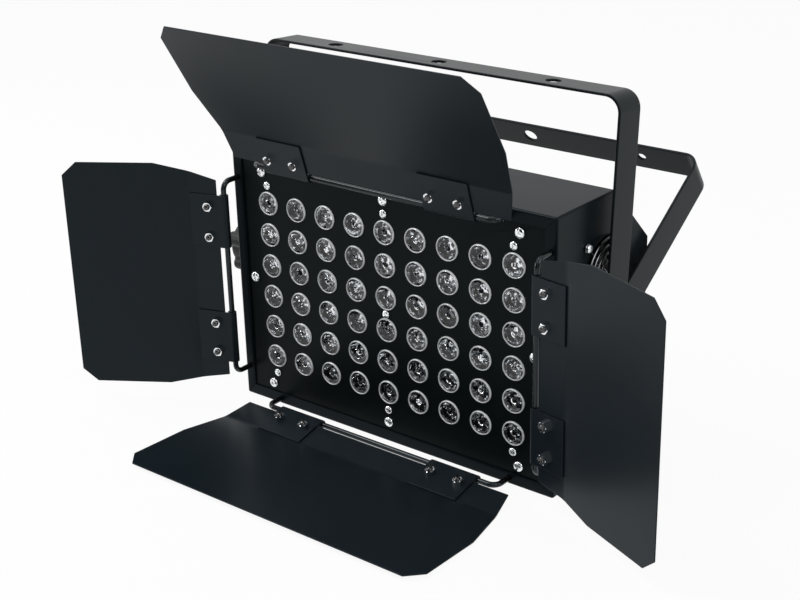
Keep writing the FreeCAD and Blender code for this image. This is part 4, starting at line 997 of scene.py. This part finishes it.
def socket_core(name, power):
    """The insert inside a mouth: a turned core with three contact slots, or a disc with pins."""
    if power:
        corners = [(0, -3), (5.6, -3), (6.2, -3.6), (6.2, -11.9), (0, -11.9)]
    else:
        corners = [(0, -10.5), (9.2, -10.5), (9.4, -10.8), (9.4, -11.9), (0, -11.9)]
    core = turned(name, corners, sides=40)
    if power:
        for i in range(3):
            cutter = bmesh.new()
            angle = math.radians(90 + 120 * i)
            at = Vector((SLOT_RADIUS * math.cos(angle), SLOT_RADIUS * math.sin(angle), -3)) * MM
            box_mesh(cutter, Matrix.Translation(at) @ Matrix.Rotation(angle, 4, "Z"), (1.2, 3.4, 12))
            carved(core, cutter)
    return core


screw_spots, pin_spots = [], []
for name, (x, z, coat) in SOCKETS.items():
    dressed(name + "_shell", name, "head", coat, 0.45)
    place = facing(in_head(x, SOCKET_FACE, z), TO_BACK)
    power = name.startswith("power")
    mounted(moved(socket_core(name + "_core", power), place), "head", coat)
    screw_spots += [facing(in_head(x + i * SCREW_X, SOCKET_FACE, z + i * SCREW_Z), TO_BACK) for i in (-1, 1)]
    if not power:
        for a in (math.radians(degrees) for degrees in (30, 150, 270)):
            at = Vector((PIN_RADIUS * math.cos(a), PIN_RADIUS * math.sin(a), PIN_SEAT)) * MM
            pin_spots.append(place @ Matrix.Translation(at))
mounted(copies("socket_screw_set", pan_screw(2.3, 1.3, 1.2, 4), screw_spots, "zinc_steel", roll=math.pi / 2),
        "head", "zinc_steel")
pin = turned("pin", [(0, 7), (0.7, 6.7), (1.1, 6), (1.1, 0), (0, 0)], sides=16)
mounted(copies("data_pins", pin, pin_spots, "contact_brass"), "head", "contact_brass", slot="zinc_steel")

# %% [markdown]
# ### Fuse and safety eye
#
# The fuse cap has moulded grips, so that fingers can turn it. A forged eye takes the safety cable. Its foot
# is turned, and its ring is a wire that closes on itself.

# %% Fuse cap and safety eye
FUSE_X, FUSE_Z = -128, -24
GRIPS, GRIP_CIRCLE = 20, 8.25
fuse_place = facing(in_head(FUSE_X, BACK, FUSE_Z), TO_BACK)
fuse_cap = turned("fuse_cap", [(0, 9.4), (5.2, 9.4), (5.8, 10), (7.4, 10), (8.2, 9.2), (8.4, 1.2), (9, 0.8),
                               (9, 0), (7, 0), (7, -30), (0, -30)], sides=48)
mounted(moved(fuse_cap, fuse_place), "head", "black_plastic", "fuse_holder")
grip = turned("grip", [(0, 9.2), (0.35, 8.9), (0.55, 8.2), (0.55, 1.2), (0, 1.0)], sides=8)
to_edge = Matrix.Translation((GRIP_CIRCLE * MM, 0, 0))
grips = [fuse_place @ Matrix.Rotation(2 * math.pi * i / GRIPS, 4, "Z") @ to_edge for i in range(GRIPS)]
mounted(copies("fuse_grips", grip, grips, "black_plastic"), "head", "black_plastic")

EYE_HEIGHT, EYE_RING, EYE_WIRE = 11, 9, 2.0
eye_foot = turned("safety_foot", [(0, 2), (8.2, 2), (8.8, 1.5), (9, 0.8), (9, 0), (0, 0)], sides=48)
mounted(moved(eye_foot, facing(in_head(0, BACK, 0), TO_BACK)), "head", "zinc_steel", "safety_eye")
eye_ring = facing(in_head(0, BACK + EYE_HEIGHT, 0), Vector((1, 0, 0)))
safety_ring = wired("safety_ring", [(ring(eye_ring, EYE_RING, 56), True)], EYE_WIRE, "zinc_steel", sides=20)
mounted(safety_ring, "head", "zinc_steel")

# %% [markdown]
# ### Buttons and display
#
# Four rubber buttons sit under a smoked window with four unlit digits of seven bars each. The window's finish
# is opaque, so the bars lie on its face. A button is one turned shape: a cap, a collar that keeps it from
# falling out, and a stem towards the control board.

# %% Buttons and digits
MENU_X, BUTTON_Z, DISPLAY_Z = 118, 18, 39
BUTTON_STEP, DIGIT_STEP = 13, 9.5
STEM_END = -4.4
BUTTON_CAP = [(0, 1.5), (1.6, 1.45), (2.6, 1.2), (3.2, 0.8), (3.5, 0.2), (3.5, -1.8)]
BUTTON_COLLAR_AND_STEM = [(4.6, -1.8), (4.6, -2.8), (2, -2.8), (2, STEM_END), (0, STEM_END)]
for number in range(4):
    cap = turned("button_cap_%d" % (number + 1), BUTTON_CAP + BUTTON_COLLAR_AND_STEM, sides=36, sharp=50)
    at = in_head(MENU_X + (number - 1.5) * BUTTON_STEP, BACK, BUTTON_Z)
    mounted(moved(cap, facing(at, TO_BACK)), "menu_button_%d" % (number + 1), "button_rubber",
            "menu_button_%d" % (number + 1))
LEVEL_BARS = [(0, 4.6, 0), (0, 0, 0), (0, -4.6, 0)]
UPRIGHT_BARS = [(-2.3, 2.3, 90), (2.3, 2.3, 90), (-2.3, -2.3, 90), (2.3, -2.3, 90)]
bars = []
for digit in range(4):
    middle = MENU_X + (digit - 1.5) * DIGIT_STEP
    for x, z, angle in LEVEL_BARS + UPRIGHT_BARS:
        at = facing(in_head(middle + x, BACK + 0.4, DISPLAY_Z + z), TO_BACK)
        bars.append(at @ Matrix.Rotation(math.radians(angle), 4, "Z"))
bar = turned("bar", [(0, 0.02), (0.5, 0.02), (0.5, -0.2), (0, -0.2)], sides=6)
bar.data.transform(Matrix.Diagonal((3.6, 1.0, 1.0, 1.0)))
mounted(copies("display_bars", bar, bars, "dark_gap"), "head", "dark_gap", slot="smoked_window")

# %% [markdown]
# ## Inner parts
#
# The boards, the heat sink and the power supply stay as the CAD solids that they are. They are seen only
# through gaps, so they need a fitting finish and nothing else.

# %% Finishes of the nodes that are carried over
INNER = {"lens_holders": "black_plastic", "led_emitters": "emitter_resin", "led_board": "white_board",
         "heat_sink": "bare_aluminium", "power_supply": "bare_aluminium", "panel_posts": "zinc_steel",
         "pivot_studs": "zinc_steel", "control_board": "green_board", "display_window": "smoked_window"}
for node, coat in INNER.items():
    nodes[node].data.materials.clear()
    nodes[node].data.materials.append(COATS[coat])
bare = [n for n, thing in nodes.items() if not thing.hide_render and n not in INNER]
print("carried over", len(INNER), "without a finish", bare)

# %% [markdown]
# ## Camera
#
# The camera stands where the photographer's stood: to the right of the lamp, a little above it, with a
# long lens. Its place and turn were worked out from the rows of lenses and the corners of the casing.

# %% Camera
CAMERA_AT = Vector((0.779, -0.978, 0.6417))
CAMERA_AXES = Matrix(((0.7814, 0.6235, -0.024), (-0.2216, 0.3132, 0.9235), (0.5833, -0.7163, 0.383)))
camera_turn = CAMERA_AXES.transposed().to_quaternion().to_matrix().to_4x4()
lens = bpy.data.cameras.new("camera")
lens.lens = 68.88
lens.sensor_width = 36
camera = bpy.data.objects.new("camera", lens)
bpy.context.scene.collection.objects.link(camera)
camera.matrix_world = Matrix.Translation(CAMERA_AT) @ camera_turn
bpy.context.scene.camera = camera
print("camera at", tuple(CAMERA_AT))

# %% [markdown]
# ## Studio
#
# A white floor and a white surround, as in a catalogue picture. Camera, mirror and glass rays see the
# surround at full white, while the light that it gives is weaker, so that black paint stays black. Three
# soft lamps shape the fixture: a strong one from above on the left, a small one low on the left for the
# leaf there, and a wide one from the right.

# %% Floor, surround and lamps
scene = bpy.context.scene
scene.view_settings.view_transform = "Standard"


WHITE = (1, 1, 1, 1)
BACKGROUND_RAYS = ("Is Camera Ray", "Is Glossy Ray", "Is Transmission Ray")


def meets(tree, kinds):
    """One for rays of these kinds, and zero for all others."""
    path = tree.node_tree.nodes.new("ShaderNodeLightPath")
    found = Wire(tree, path.outputs[kinds[0]])
    for kind in kinds[1:]:
        found = found.maths("MAXIMUM", Wire(tree, path.outputs[kind]))
    return found


def stage_coat(name, tone, specular, kinds, share=1.0):
    """A dull grey material that rays of these kinds meet as plain white, in this share."""
    coat, tree, shader = new_coat(name, Base_Color=(tone, tone, tone, 1), Roughness=0.9,
                                  Specular_IOR_Level=specular)
    glow = tree.node("ShaderNodeEmission", {}, {"Color": WHITE, "Strength": 1.0})
    surface = tree.node("ShaderNodeMixShader", {},
                        {0: meets(tree, kinds) * share, 1: Wire(tree, shader.outputs[0]), 2: glow})
    coat.node_tree.links.new(surface.socket, coat.node_tree.nodes["Material Output"].inputs["Surface"])
    return coat


def sheet(name, width, height, level, coat):
    """A flat rectangle at this level, with the coat on it."""
    x, y = width / 2, height / 2
    mesh = bpy.data.meshes.new(name)
    mesh.from_pydata([(-x, -y, level), (x, -y, level), (x, y, level), (-x, y, level)], [], [(0, 1, 2, 3)])
    mesh.materials.append(coat)
    thing = shown(name, mesh)
    return thing


FLOOR_SIZE = 16.0
FLOOR_SHARE = 0.93        # the rest keeps the shadow
floor_coat = stage_coat("floor_white", 0.8, 0.0, BACKGROUND_RAYS, FLOOR_SHARE)
sheet("floor", FLOOR_SIZE, FLOOR_SIZE, cad_box[0][2], floor_coat)

world = bpy.data.worlds.new("surround")
scene.world = world
world.use_nodes = True
sky = Tree(world.node_tree)
white = sky.node("ShaderNodeBackground", {}, {"Color": WHITE, "Strength": 1.0})
soft = sky.node("ShaderNodeBackground", {}, {"Color": WHITE, "Strength": 0.5})
both = sky.node("ShaderNodeMixShader", {}, {0: meets(sky, BACKGROUND_RAYS), 1: soft, 2: white})
world.node_tree.links.new(both.socket, world.node_tree.nodes["World Output"].inputs["Surface"])


def soft_lamp(name, place, width, power):
    """A square area lamp at the place, aimed at the middle of the fixture."""
    lamp = bpy.data.lights.new(name, "AREA")
    lamp.size = width
    lamp.energy = power
    thing = bpy.data.objects.new(name, lamp)
    scene.collection.objects.link(thing)
    thing.matrix_world = facing(place, Vector(place) - FIXTURE_MIDDLE)


FIXTURE_MIDDLE = Vector((0, 0, 0.12))
soft_lamp("key", (-1.0, -0.5, 1.9), 0.9, 22)
soft_lamp("left", (-1.5, -0.75, 0.5), 0.5, 8)
soft_lamp("fill", (1.6, -0.4, 1.2), 1.2, 12)

# %% [markdown]
# ### Flags
#
# Polished metal and clear lenses only look like metal and glass when dark stands next to light in them. So
# a photographer puts up flags, boards of black cloth, out of the picture. They stand behind the camera and
# beside it, with gaps between them through which the white surround still glints. Rays from the camera meet
# them as white, so that a picture from another side shows no black board.

# %% Black flags out of the picture
UP = Vector((0, 0, 1))
flag_coat = stage_coat("flag_cloth", 0.015, 0.1, ("Is Camera Ray",))


def flag(name, middle, width, height):
    """An upright board that faces the lamp."""
    board = sheet(name, width, height, 0, flag_coat)
    look = Vector((-middle[0], -middle[1], 0)).normalized()
    axes = Matrix((UP.cross(look), UP, look)).transposed().to_4x4()
    board.matrix_world = Matrix.Translation(middle) @ axes
    print(name, "faces", tuple(round(c, 2) for c in look))


flag("flag_front", (0.1, -2.7, 1.0), 2.6, 2.0)
flag("flag_right", (2.6, -1.0, 1.0), 2.2, 2.0)
flag("flag_left", (-2.3, -1.7, 0.9), 1.6, 1.6)
